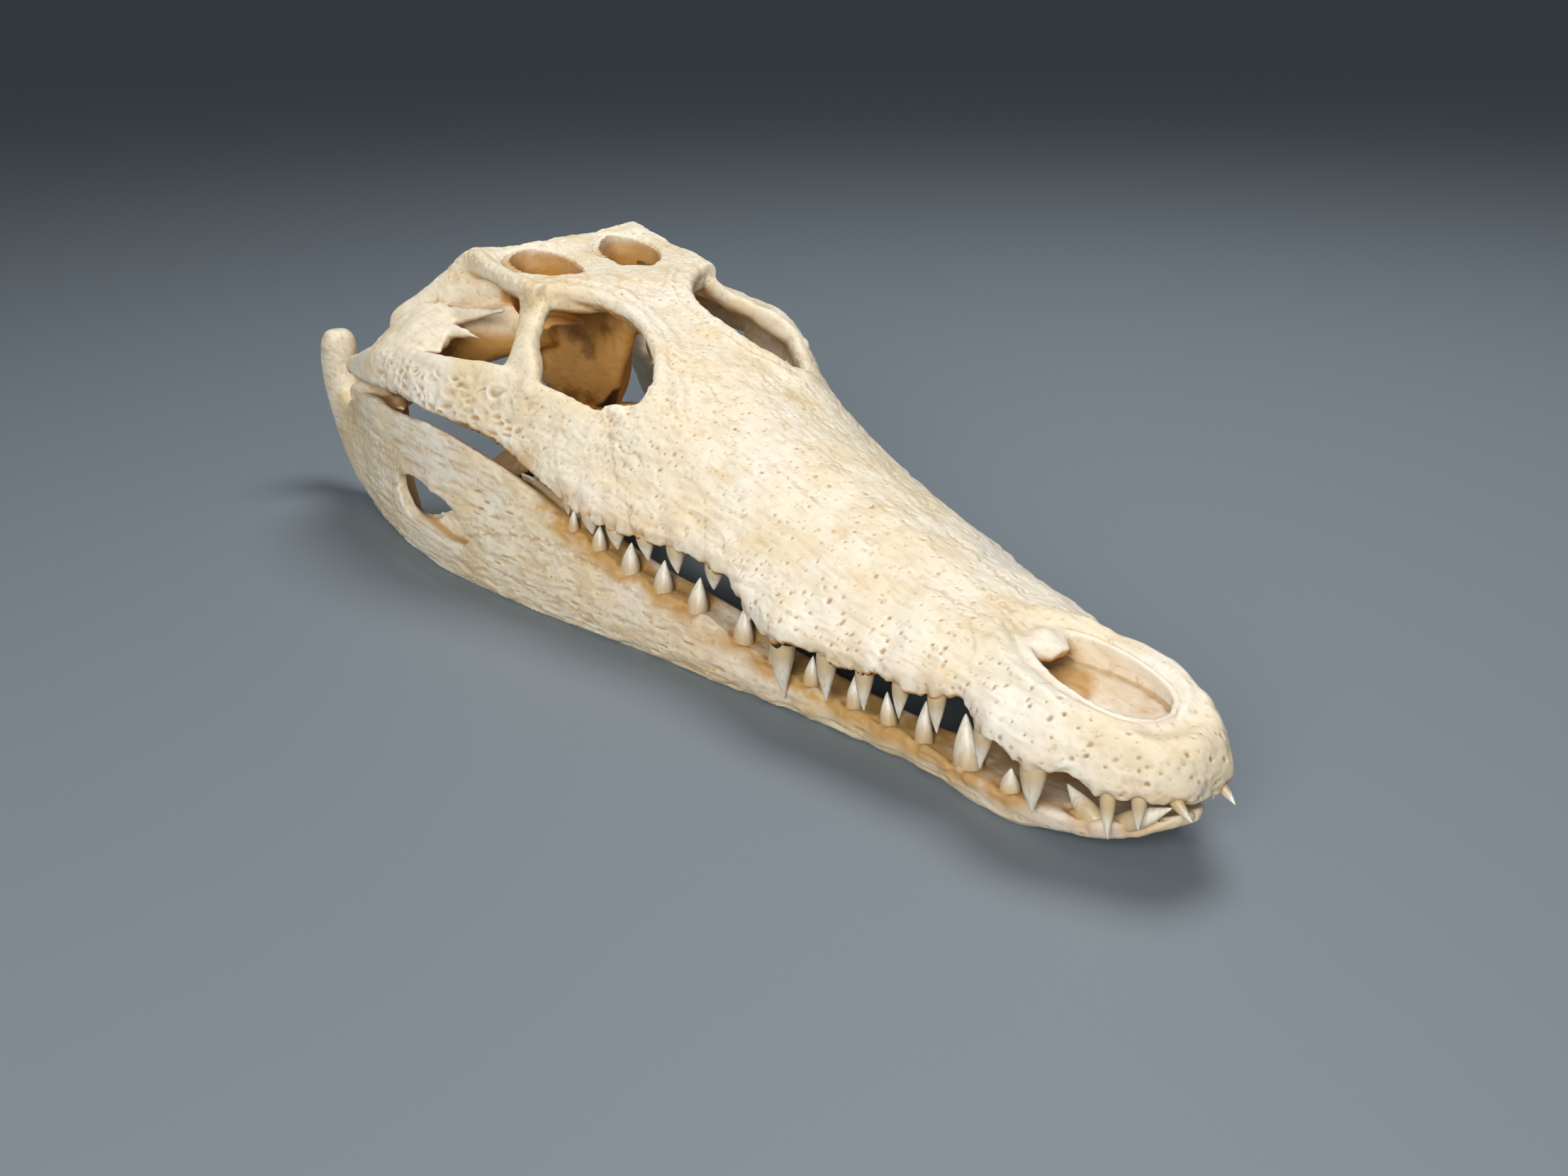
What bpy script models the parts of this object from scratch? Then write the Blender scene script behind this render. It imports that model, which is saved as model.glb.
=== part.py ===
"""Skull of a young Nile crocodile with its lower jaw, at life size, resting on the lower jaw.

The skull is drawn in millimetres as (s, y, z): s runs back from the snout tip along the midline, y runs
out from the midline to the animal's left, and z is the height above the surface that the jaw rests on.
"""

import math
import random

import bmesh
import bpy
import numpy as np
from mathutils import Vector

MM = 0.001
LENGTH = 321.5              # front teeth to the end of the lower jaw
FRONT_OF_TIP = 1.5          # how far the front teeth reach past the snout tip
MID_S = (LENGTH - FRONT_OF_TIP) / 2
VOXEL = 1.15                # grid of the remesh that fuses the bone
SUTURE = 0.3                # gap where one bone meets the next

BONE_COLOUR = (0.80, 0.70, 0.53, 1.0)
JAW_COLOUR = (0.78, 0.66, 0.48, 1.0)

CRANIUM_TRIANGLES = 6800
RAMUS_TRIANGLES = 1250

# Feature lines of the snout, from the tip back: (s, y, z).
SNOUT_MIDLINE = [(0.4, 0, 19.5), (1.6, 0, 22.8), (3.6, 0, 24.8), (6, 0, 26), (9, 0, 26.8), (12, 0, 27.4),
    (24, 0, 29), (38, 0, 30.8), (50, 0, 32.8), (60, 0, 34.6), (70, 0, 36.6), (80, 0, 38.8), (92, 0, 41.4),
    (112, 0, 46), (125, 0, 49.4), (140, 0, 53.4), (155, 0, 57.6), (165, 0, 61), (178, 0, 64.5)]
SNOUT_SHOULDER = [(0.4, 2.0, 18.5), (1.6, 4.6, 21.6), (3.6, 6.8, 23.6), (6, 8.6, 24.8), (9, 10.2, 25.6),
    (13, 11.8, 26.6), (18, 13.2, 27.6), (24, 14.8, 28.6), (32, 14.6, 29.8), (40, 13, 30.4),
    (46, 12.8, 31), (52, 14, 31.5), (60, 16, 31.6), (70, 18.2, 31.4), (80, 19.8, 32.8), (92, 21.5, 34.8),
    (100, 22, 36.3), (112, 22, 38.8), (125, 22.6, 41.6), (140, 24.4, 45.6), (155, 25.4, 51.6),
    (165, 26.5, 55), (178, 30.5, 55)]
SNOUT_CHEEK = [(0.4, 3.2, 17.2), (1.6, 6.2, 19.4), (3.6, 8.4, 20.2), (6, 10.4, 20.4), (9, 12.8, 20.4),
    (13, 15.6, 20.6), (18, 17.8, 21.4), (24, 20.6, 21.6), (32, 20.8, 23.4), (40, 19.4, 25.2),
    (46, 18.8, 26.4), (52, 21.2, 25.2), (60, 23.9, 24.6), (70, 26.1, 24.6), (80, 28.5, 24.4),
    (92, 31.6, 24.4), (100, 31.2, 27), (112, 30.6, 30.6), (125, 32.2, 32.2), (140, 36.0, 33.6),
    (155, 39.6, 35.4), (165, 41.4, 38.2), (178, 43.2, 40.6)]
SNOUT_MARGIN = [(0.4, 2.6, 15.2), (1.6, 5.4, 15.4), (3.6, 7.6, 16), (6, 9.8, 15.9), (9, 12.2, 15),
    (12.5, 14.8, 14.9), (16, 16.6, 16.6), (19, 17.8, 18.2), (24, 21.2, 17), (28, 21.8, 19.2),
    (32, 22.2, 20.2), (37, 21.8, 19.4), (41, 20.2, 22.4), (45, 19.4, 23.2), (51, 22, 21),
    (59, 24.2, 20.6), (64, 25.2, 21.6), (69, 26.4, 20), (79, 28.8, 20.4), (86, 30.4, 21.4),
    (92, 32, 19.8), (99, 31.8, 21.6), (105, 31.5, 24.2), (112, 31.2, 27.6), (119, 31.8, 27.4),
    (125, 33, 29), (132, 34.8, 28.6), (141, 37.6, 29.2), (149, 40.5, 29.4), (159, 43.4, 30.2),
    (169, 44.8, 32.6), (178, 46, 35.2)]
SNOUT_START = 0.4


def smooth(points, at):
    """The values at `at` of a smooth curve through rows of (position, value, value...), with no overshoot."""
    rows = np.asarray(points, float)
    knots, values = rows[:, 0], rows[:, 1:]
    step = np.diff(knots)[:, None]
    slope = np.diff(values, axis=0) / step
    inner = np.where(slope[:-1] * slope[1:] > 0, 2 * slope[:-1] * slope[1:] / (slope[:-1] + slope[1:]
        + 1e-12), 0)
    tangent = np.vstack([slope[:1], inner, slope[-1:]])
    at = np.clip(np.atleast_1d(at), knots[0], knots[-1])
    k = np.clip(np.searchsorted(knots, at, side="right") - 1, 0, len(knots) - 2)
    t = ((at - knots[k]) / step[k, 0])[:, None]
    return ((2 * t**3 - 3 * t**2 + 1) * values[k] + (t**3 - 2 * t**2 + t) * step[k] * tangent[k]
        + (3 * t**2 - 2 * t**3) * values[k + 1] + (t**3 - t**2) * step[k] * tangent[k + 1])


def round_curve(points, count, closed=False):
    """Points evenly spread in parameter along a Catmull-Rom curve through the given ones."""
    p = np.asarray(points, float)
    spans = len(p) if closed else len(p) - 1
    padded = np.vstack([p[-1:], p, p[:2]]) if closed else np.vstack([2 * p[0] - p[1], p, 2 * p[-1] - p[-2]])
    at = np.linspace(0, spans, count, endpoint=not closed)
    k = np.minimum(at.astype(int), spans - 1)
    t = (at - k)[:, None]
    a, b, c, d = (padded[k + i] for i in range(4))
    return 0.5 * (2 * b + (c - a) * t + (2 * a - 5 * b + 4 * c - d) * t**2 + (3 * b - a - 3 * c + d) * t**3)


def squared(angle, power):
    """Cosine and sine of the angles, pushed out towards a square for a power below 1."""
    return [np.sign(f) * np.abs(f) ** power for f in (np.cos(angle), np.sin(angle))]


def to_world(rows):
    """(s, y, z) in millimetres to the part's frame: metres, snout towards +X."""
    p = np.asarray(rows, float)
    return np.column_stack([MID_S - p[:, 0], p[:, 1], p[:, 2]]) * MM


def solid(name, rings, side=1):
    """A closed loft through rings of equal length, its two ends closed by fans."""
    count, around = len(rings), len(rings[0])
    points = np.vstack(rings) * (1, side, 1)
    ends = np.array([rings[0].mean(0), rings[-1].mean(0)]) * (1, side, 1)
    mesh = bpy.data.meshes.new(name)
    build = bmesh.new()
    verts = [build.verts.new(p) for p in to_world(np.vstack([points, ends]))]
    for i in range(count - 1):
        for j in range(around):
            k = (j + 1) % around
            build.faces.new([verts[i * around + j], verts[i * around + k], verts[(i + 1) * around + k],
                verts[(i + 1) * around + j]])
    for centre, first in ((verts[-2], 0), (verts[-1], (count - 1) * around)):
        for j in range(around):
            build.faces.new([centre, verts[first + j], verts[first + (j + 1) % around]])
    bmesh.ops.recalc_face_normals(build, faces=build.faces)
    build.to_mesh(mesh)
    build.free()
    return bpy.data.objects.new(name, mesh)


def both(make, *args, **options):
    """The same piece on the right (-y) and on the left (+y)."""
    return [make(*args, side=side, **options) for side in (-1, 1)]


def bar(name, path, side=1, around=14, steps=14, up=(0, 0, 1), power=1.0):
    """A strut of bone: path rows are (s, y, z, half width, half thickness, tilt in degrees).

    The width lies across the path and level at tilt 0; power below 1 squares the section.
    """
    rows = round_curve(path, steps)
    centre = rows[:, :3]
    along = np.gradient(centre, axis=0)
    along /= np.linalg.norm(along, axis=1)[:, None]
    across = np.cross(along, up)
    across /= np.linalg.norm(across, axis=1)[:, None]
    normal = np.cross(across, along)
    c, s = squared(np.linspace(0, 2 * math.pi, around, endpoint=False), power)
    rings = []
    for i, (wide, thick, tilt) in enumerate(rows[:, 3:6]):
        turn = math.radians(tilt)
        u = across[i] * math.cos(turn) + normal[i] * math.sin(turn)
        v = normal[i] * math.cos(turn) - across[i] * math.sin(turn)
        rings.append(centre[i] + np.outer(c * wide, u) + np.outer(s * thick, v))
    return solid(name, rings, side)


def plate(name, rows, side=1, around=18, steps=20, power=0.75):
    """A flat bone between two edges: rows are (s, y, z of one edge, s, y, z of the other, half thickness)."""
    fine = round_curve(rows, steps)
    one, two, thick = fine[:, :3], fine[:, 3:6], fine[:, 6]
    centre, half = (one + two) / 2, (two - one) / 2
    along = np.gradient(centre, axis=0)
    normal = np.cross(along, half)
    normal /= np.linalg.norm(normal, axis=1)[:, None]
    c, s = squared(np.linspace(0, 2 * math.pi, around, endpoint=False), power)
    rings = [centre[i] + np.outer(c, half[i]) + np.outer(s * thick[i], normal[i]) for i in range(len(fine))]
    return solid(name, rings, side)


def prism(name, outline, low, high, side=1, count=40):
    """An upright prism on a smooth closed (s, y) outline."""
    flat = round_curve(outline, count, closed=True)
    return solid(name, [np.column_stack([flat, np.full(count, z)]) for z in (low, high)], side)


def block(name, outline, low, high, side=1):
    """An upright prism on a straight-sided (s, y) outline."""
    flat = np.asarray(outline, float)
    return solid(name, [np.column_stack([flat, np.full(len(flat), z)]) for z in (low, high)], side)


def ball(name, centre, radii, side=1, around=16, steps=10):
    """An ellipsoid."""
    lat = np.linspace(-math.pi / 2, math.pi / 2, steps + 2)[1:-1]
    lon = np.linspace(0, 2 * math.pi, around, endpoint=False)
    rings = [np.array(centre) + np.column_stack([np.full(around, radii[0] * math.sin(a)), radii[1]
        * math.cos(a) * np.cos(lon), radii[2] * math.cos(a) * np.sin(lon)]) for a in lat]
    return solid(name, rings, side)


# The snout: premaxillae, maxillae, nasals and the front of the palate.

# Height of the palate at the midline.
SNOUT_PALATE = [(0.4, 15.8), (5, 15.2), (12, 15.6), (24, 16.8), (36, 19.0), (45, 20.6), (60, 20.4),
    (92, 21.4), (112, 25.4), (141, 29.4), (160, 31.6), (178, 34.6)]


def snout_rings(stations=64, over=14, under=8):
    s = SNOUT_START + (178 - SNOUT_START) * np.linspace(0, 1, stations) ** 1.3
    lines = [smooth(line, s) for line in (SNOUT_MARGIN, SNOUT_CHEEK, SNOUT_SHOULDER, SNOUT_MIDLINE)]
    vault = smooth(SNOUT_PALATE, s)[:, 0]
    rings = []
    for i, at in enumerate(s):
        margin, cheek, shoulder, middle = (line[i] for line in lines)
        brow = (shoulder + middle) / 2 + (0, 0.2 * (middle[1] - shoulder[1]))
        top = round_curve([margin, cheek, shoulder, brow, middle], over)
        inner = margin * (0.78, 1) + (0, 0.2)
        palate = np.array([0, vault[i]])
        floor = round_curve([margin, inner, palate + (0.45 * margin[0], -0.2), palate], under)
        half = np.vstack([floor[:0:-1], top])
        whole = np.vstack([half, half[-2:0:-1] * (-1, 1)])
        rings.append(np.column_stack([np.full(len(whole), at), whole]))
    return rings


# Openings of the skull, as (s, y) outlines on the left side.

ORBIT = [(165.6, 19.2), (163.8, 23), (164.6, 26.4), (168.6, 28.8), (173, 31), (180.5, 34.8), (187, 37),
    (190.5, 38), (196, 34.6), (201, 30.4), (206.5, 26.5), (211.5, 22.5), (209.5, 17), (203, 12.6),
    (194, 9.8), (184, 9.4), (176, 11.2), (170, 14.8)]
UPPER_WINDOW = [(222, 11), (226, 7.4), (234, 5.4), (243, 6.4), (249.5, 11), (251, 16), (246, 20.5),
    (236, 21), (227, 17)]
NOSTRIL = [(12.2, 0), (14, 4.8), (18.6, 7.6), (26, 8.7), (33, 8.3), (39, 6.9), (42, 4.8), (40.4, 2.8),
    (38, 1.6), (36.4, 0)]
PALATE_WINDOW = [(126, 19), (134, 15.5), (150, 13.4), (170, 13.8), (188, 17), (200, 22), (204, 29),
    (198, 35), (184, 38), (166, 36.5), (148, 31.5), (134, 25.5)]


def nostril_cutters():
    """The single bony nostril: a basin that runs back under the nasals."""
    right = [(s, -y) for s, y in NOSTRIL[1:-1][::-1]]
    basin = prism("nostril", NOSTRIL + right, 24.5, 40.0, count=56)
    bowl = ball("nostril_bowl", (26, 0, 27), (13.8, 8.3, 6.0))
    passage = bar("nostril_passage", [(28, 0, 25.0, 6.5, 2.8, 0), (40, 0, 25.6, 6.2, 2.6, 0),
        (52, 0, 27.0, 5.0, 2.4, 0)])
    return [basin, bowl, passage]


def nostril_pieces():
    """The raised lip round the nostril, and the spine of the nasals at its back."""
    lip = both(bar, "nostril_lip", [(10.8, -1, 26.2, 2.0, 1.5, 0), (13, 5.6, 27.2, 2.0, 1.5, 0),
        (18, 9.2, 28.2, 2.1, 1.5, 0), (26, 10.5, 29.1, 2.3, 1.5, 0), (34, 10, 30, 2.3, 1.5, 0),
        (41, 8.2, 30.8, 2.5, 1.4, 0), (48, 5.4, 31.6, 3.0, 1.4, 0)])
    spine = bar("nasal_spine", [(50, 0, 30.8, 3.6, 2.0, 0), (44, 0, 30.3, 2.6, 1.9, 0),
        (40, 0, 29.3, 2.4, 1.8, 0), (37, 0, 28.1, 2.0, 1.6, 0), (35, 0, 27.2, 1.0, 1.0, 0)])
    return lip + [spine]


def cavity_cutter():
    """The open space below the frontal that joins the two orbits, above the palate."""
    rings = []
    c, t = squared(np.linspace(0, 2 * math.pi, 28, endpoint=False), 0.6)
    for half, low, high, s in smooth([(152, 14, 42, 47, 152), (157, 20, 40.5, 50, 157),
            (163, 26.5, 39.5, 53.2, 163), (175, 35.5, 39.5, 58, 175), (190, 43.5, 38, 61.5, 190)],
            np.linspace(152, 190, 12)):
        rings.append(np.column_stack([np.full(28, s), half * c, (low + high) / 2 + (high - low) / 2 * t]))
    return solid("orbit_cavity", rings)


# The skull roof behind the snout: frontal, postorbitals, squamosals and parietal.

def frontal_pieces():
    """The sunken plate between the orbits and its raised rims."""
    plane = bar("frontal", [(146, 0, 50.6, 9, 3, 0), (156, 0, 54.4, 12, 3, 0),
        (166, 0, 58.2, 11.5, 2.8, 0), (176, 0, 61.6, 10.2, 2.8, 0), (188, 0, 65.6, 9.2, 2.6, 0),
        (200, 0, 69.2, 11.5, 2.8, 0), (211, 0, 72.2, 18, 3, 0), (222, 0, 73.6, 24, 3, 0)], around=20,
        power=0.6)
    rims = both(bar, "orbit_rim", [(158, 19.5, 53.4, 1.8, 1.8, 0), (165, 16.6, 57.9, 1.9, 1.9, 0),
        (172, 12.7, 61.4, 2.0, 2.1, 0), (182, 9.2, 65.6, 2.1, 2.2, 0), (194, 8.8, 69.3, 2.2, 2.4, 0),
        (204, 11.9, 71.7, 2.6, 2.6, 0), (211.5, 18, 73.0, 3.2, 2.8, 0), (217, 24.6, 73.2, 3.2, 3, 0)])
    return [plane] + rims


TABLE = [(207, 16, 72.5, 2.6), (212, 23.5, 74.0, 3.2), (218, 27.8, 75.6, 3.6), (234, 28.4, 77.6, 3.8),
    (248, 28.4, 79.4, 3.9), (257, 28.4, 80.8, 3.6), (260.5, 27, 80.8, 2.8)]
TABLE_HOLLOW = 7.0          # how far the rear edge of the table curves in at the midline
TABLE_HORN = 1.8            # how far its rear corners stand up
TABLE_LEAN = 0.05           # the left rear corner stands higher than the right one


def table_piece():
    """The flat skull table: rows of (s, half width, top, half thickness), its rear edge hollowed."""
    rings = []
    c, t = squared(np.linspace(0, 2 * math.pi, 36, endpoint=False), 0.7)
    c = np.sign(c) * np.abs(c) ** 0.5
    front, end = TABLE[0][0], TABLE[-1][0]
    for at in np.linspace(front, end, 16):
        half, top, thick = smooth(TABLE, at)[0]
        share = (at - front) / (end - front)
        back = TABLE_HOLLOW * share ** 3 * (1 - np.abs(c) ** 2.2)
        dish = 1.0 * (1 - c ** 2) * (1 - abs(2 * share - 1))
        horn = share ** 4 * (TABLE_HORN * np.abs(c) ** 6 - 1.2 * np.exp(-((np.abs(c) - 0.7) / 0.14) ** 2))
        lean = TABLE_LEAN * share * half * c
        rings.append(np.column_stack([at - back, half * c, top - thick + thick * t - dish + horn + lean]))
    return solid("skull_table", rings)


def braincase_pieces():
    """The walls round the brain, the stem below them, the occiput and the ball that the neck turned on."""
    rings = []
    c, t = squared(np.linspace(0, 2 * math.pi, 24, endpoint=False), 0.75)
    for at, half, low, high in smooth([(212, 212, 2.2, 60, 71), (217, 217, 2.4, 52, 73),
            (223, 223, 2.8, 42.5, 74), (228.5, 228.5, 4.4, 36, 75), (237, 237, 12, 31, 77),
            (247, 247, 16, 35, 78), (257, 257, 14, 46, 77)], np.linspace(212, 257, 14)):
        rings.append(np.column_stack([np.full(24, at), half * c, (low + high) / 2 + (high - low) / 2 * t]))
    walls = solid("braincase", rings)
    ear_blocks = both(bar, "ear_block", [(248, 6, 67, 7, 8.5, 0), (252, 16, 67.5, 7, 8.5, 0),
        (257, 26, 68, 6, 8, 0), (259.5, 31.5, 67, 4.4, 6.0, 0), (262, 36, 65.5, 3.0, 4.0, 0)])
    ribs = both(bar, "squamosal_rib", [(213, 25.5, 73.5, 3, 3, 0), (226, 27, 74, 2.8, 3, 0),
        (240, 27.5, 75.2, 2.8, 3.2, 0), (250, 27.6, 76.2, 3.0, 3.8, 0), (256.5, 27.6, 75.2, 3.2, 4.2, 0),
        (259.4, 30.6, 71.8, 3.2, 4.0, 0), (262.2, 34.2, 68.6, 3.2, 3.8, 0),
        (266.8, 39, 63.6, 3.2, 3.6, 0), (271.8, 44, 59.2, 3.2, 3.4, 0), (273.2, 45.6, 56, 2.6, 2.8, 0)])
    neck_ball = ball("condyle", (262.5, 0, 52.5), (5.2, 5.4, 4.6))
    neck_root = ball("condyle_root", (256, 0, 52), (7, 8, 8))
    base = bar("basioccipital", [(252.5, 0, 50, 8.5, 5, 0), (254, 0, 43, 9.5, 4.4, 0),
        (254.5, 0, 37.5, 8, 3.2, 0)], up=(1, 0, 0))
    return [walls, neck_ball, neck_root, base] + ear_blocks + ribs


def cheek_pieces():
    """Jugal bar, postorbital bar, quadratojugal and quadrate of both sides."""
    jugal = both(plate, "jugal", [(152, 36, 32, 152, 22, 43, 2.4), (160, 40, 32, 159, 24, 49.5, 2.6),
        (170, 43.4, 33.2, 168, 29, 52, 2.8), (178, 45.0, 35.0, 177, 33, 53.4, 2.9),
        (188, 46.6, 38.2, 187.5, 37.8, 56, 2.9), (196, 49, 41.4, 196, 40.8, 58.4, 3),
        (204, 51.8, 43.4, 204, 43.8, 59.3, 3), (215, 55.6, 45, 215, 48.6, 59.2, 3),
        (226, 58, 46, 226, 52, 58.8, 3), (240, 59.2, 46, 240, 54.6, 58, 3),
        (254, 59.8, 45.2, 253, 56.2, 56.2, 3), (268, 59.8, 43.8, 266, 57.2, 53.2, 2.9),
        (281, 58.8, 43, 279, 57.2, 48.4, 2.7)], steps=34)
    pillar = both(plate, "postorbital_bar", [(223.5, 27, 73.2, 214.5, 23, 73.6, 3.2),
        (222.5, 27.4, 69.2, 211.5, 25, 70.5, 2.9), (216.5, 30.6, 65, 207.5, 29.4, 66.4, 2.6),
        (210.6, 34.4, 62.8, 200.8, 33.6, 63.4, 2.6), (205.4, 38.6, 59.6, 191, 37.6, 58.6, 2.8),
        (203.5, 43.4, 55.2, 187.5, 41.4, 53.6, 2.4)], around=14)
    wall = both(plate, "quadrate_plate", [(249, 35, 63.2, 231, 48.5, 57.6, 1.5),
        (254, 35.4, 63.8, 240, 55.2, 57.4, 2.0), (260, 36.2, 64.2, 251, 57.4, 55.2, 2.6),
        (267, 39, 61.8, 262, 58.2, 51.4, 2.8), (272.5, 42.6, 55, 271, 58, 47.8, 2.6),
        (277.5, 46, 49.8, 277, 57, 45.6, 2.8), (281, 47.6, 47.8, 281, 57, 45.0, 3.6)])
    shaft = both(bar, "quadrate_shaft", [(237, 12, 59.5, 6, 6, 0), (248, 25, 56.8, 7.6, 7.6, 10),
        (257, 34, 53.5, 8, 8.2, 18), (266, 41, 49.5, 7, 6.8, 20), (275, 47, 47.6, 6.2, 4.6, 8)])
    spine_up = both(plate, "spine_upper", [(252, 35.6, 64.6, 246, 37.6, 61.0, 1.6),
        (241, 33.6, 65.8, 238.5, 35.2, 63.6, 1.3), (230, 29.4, 67.4, 229, 30.2, 66.6, 0.7)], around=10,
        steps=8)
    spine_low = both(plate, "spine_lower", [(246, 41, 61.6, 241.5, 43.4, 59.4, 1.5),
        (235, 39.6, 62.0, 233, 40.8, 60.6, 1.1), (226, 38.6, 61.4, 225.5, 39.2, 60.6, 0.6)], around=10,
        steps=8)
    shelf = both(bar, "jugal_shelf", [(184, 40.5, 41.5, 3.4, 3.4, 0), (200, 46, 43.4, 3.2, 3.2, 0),
        (214, 50, 44.9, 3.0, 3.0, 0), (230, 53.2, 46.0, 2.6, 2.8, 0), (242, 55.4, 47.2, 2.0, 2.2, 0)])
    knuckle = both(bar, "jaw_knuckle", [(279.5, 42.5, 46.8, 4.2, 3.6, 0),
        (280.5, 46.5, 45.8, 4.8, 4.2, 0), (280.5, 50.5, 46.0, 4.4, 3.8, 0),
        (280, 55.5, 45.2, 4.4, 3.6, 0)])
    return jugal + shelf + pillar + wall + shaft + spine_up + spine_low + knuckle


def palate_pieces():
    """Palatines, pterygoids with their wings, and the ectopterygoids that brace them to the cheeks."""
    tube = bar("palatines", [(112, 0, 33.5, 16, 3, 0), (128, 0, 34.6, 14.5, 3.4, 0),
        (150, 0, 36.2, 12.8, 4.0, 0), (172, 0, 37, 12.6, 4.2, 0), (192, 0, 37, 13.6, 3.8, 0),
        (208, 0, 34.6, 17, 3.0, 0), (226, 0, 31.4, 19, 2.8, 0), (243, 0, 29.4, 14, 2.8, 0)], around=20,
        power=0.75)
    wings = both(bar, "pterygoid_wing", [(221, 6, 32, 17, 2.8, 0), (223, 18, 30.4, 16, 2.3, 0),
        (226, 28, 26.6, 13.5, 2.1, 0), (228, 35.6, 22.2, 10.5, 2.1, 0), (228, 39.6, 19.6, 6.5, 2.1, 0)],
        power=0.8)
    brace = both(bar, "ectopterygoid", [(164, 36, 38.0, 4.2, 3.6, 40), (176, 38.0, 39.0, 4.4, 3.2, 45),
        (188, 37.8, 37.0, 4.2, 3, 40), (200, 36.2, 32.4, 4.2, 2.8, 30), (213, 35.6, 26.8, 4.4, 2.6, 20),
        (226, 36.6, 23, 3.6, 2.4, 10)])
    return [tube] + wings + brace


# The lower jaw: one ramus, drawn on the left side. Rows are (s, y, z) along its edges.

JAW_EDGE = [(2.6, 1.6, 13.0), (5, 5.0, 11.8), (9, 8.4, 10), (15, 12.0, 8.8), (23.5, 15.0, 7.8),
    (31, 16.6, 7), (40, 17.5, 6.6), (50, 18.2, 6.9), (59, 18.7, 7.1), (68, 20.0, 7.2), (78, 21.8, 7.4),
    (90, 24.4, 8.6), (101, 26.8, 10.2), (112, 29.4, 12.4), (121, 31.8, 15), (132, 35, 17.2),
    (143, 38.2, 19.4), (154, 41.4, 22.3), (166, 44.8, 26.4), (176, 47.4, 30.2), (191, 51.2, 35.6),
    (204, 54, 38), (225, 57.2, 39.8), (243, 59, 39), (262, 59.6, 38.4), (272, 59, 37.2), (281, 58.5, 36),
    (296, 56.6, 31)]
JAW_FLANK = [(2.6, 1.8, 12.0), (5, 5.1, 10.4), (9, 8.5, 8.4), (15, 12.1, 6.8), (22, 15.0, 5.4),
    (30, 16.5, 4.4), (38, 17.2, 4.0), (46, 18.0, 4.2), (58, 18.8, 4.4), (68, 20.6, 4.6), (78, 22.8, 4.8),
    (90, 25.8, 5.6), (103, 29.6, 6.6), (115, 33.2, 7.6), (129, 37.0, 9.0), (141, 40.4, 10.4),
    (153, 43.9, 12), (165, 47.6, 13.6), (180, 51.6, 16), (192, 54.6, 18), (210, 58.4, 19),
    (225, 60.2, 19.5), (245, 60.8, 19), (262, 60.4, 18), (280, 59.2, 17), (296, 58, 17)]
JAW_KEEL = [(2.6, 1.0, 10.2), (5, 3.4, 8.6), (9, 5.8, 6.3), (15, 8.6, 4.2), (22, 11.2, 2.5),
    (30, 12.6, 0.6), (38, 13.2, -0.8), (47, 14.2, -0.8), (58, 15.2, -0.5), (68, 16.8, -0.5),
    (78, 18.6, -0.5), (90, 21.8, -0.5), (103, 25.8, -0.5), (115, 29.4, -0.5), (129, 33.2, -0.5),
    (141, 36.8, -0.5), (153, 40.4, -0.5), (165, 44.2, -0.5), (180, 48.4, -0.5), (192, 51.4, -0.5),
    (210, 55.4, -0.6), (225, 57.4, -0.6), (245, 58.2, -0.5), (262, 57.8, 0.1), (275, 57.2, 1.2),
    (285, 56.6, 2.4), (296, 56, 4.6)]
JAW_THICK = [(2.6, 4), (9, 6), (44, 9.5), (60, 8.8), (90, 9.2), (130, 9.8), (170, 9.6), (200, 8.2),
    (250, 8.4), (268, 11), (296, 9)]
JAW_SLOPE = [(0, 0), (170, 0), (190, 3), (210, 4.5), (250, 4.5), (264, 0.5), (280, 0.5), (290, 4), (300, 4)]
SYMPHYSIS_END = 45.0        # the two halves meet at the midline as far back as this
OVERLAP = 1.6               # how far a half reaches over the midline before it is cut there


def ramus_rings(stations=66, around=26):
    s = 2.6 + (296 - 2.6) * np.linspace(0, 1, stations) ** 1.15
    edge, flank, keel = (smooth(line, s) for line in (JAW_EDGE, JAW_FLANK, JAW_KEEL))
    thick = smooth(JAW_THICK, s)[:, 0]
    rings = []
    for i, at in enumerate(s):
        joined = np.clip((SYMPHYSIS_END + 16 - at) / 16, 0, 1)
        joined = joined * joined * (3 - 2 * joined)
        inner_top = (edge[i][0] - thick[i]) * (1 - joined) - OVERLAP * joined
        inner_low = (keel[i][0] - thick[i] * 0.72) * (1 - joined) - OVERLAP * joined
        top, low = edge[i][1], keel[i][1]
        dip = (1.2 * joined + 0.6) * min(1, max(0.15, (top - low - 1.8) / 4)) + smooth(JAW_SLOPE, at)[0, 0]
        under = ((flank[i][0] * 0.7 + keel[i][0] * 0.3), low + 0.3 * (flank[i][1] - low))
        ring = [(inner_low, low), ((inner_low + keel[i][0]) / 2, low), tuple(keel[i]), under,
            tuple(flank[i]), tuple(edge[i]), (0.5 * (inner_top + edge[i][0]), top - dip * 0.4),
            (inner_top, top - dip), ((inner_top + inner_low) / 2 - 0.8 * (1 - joined), (top + low) / 2)]
        flat = round_curve(ring, around, closed=True)
        rings.append(np.column_stack([np.full(around, at), flat]))
    return rings


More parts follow.
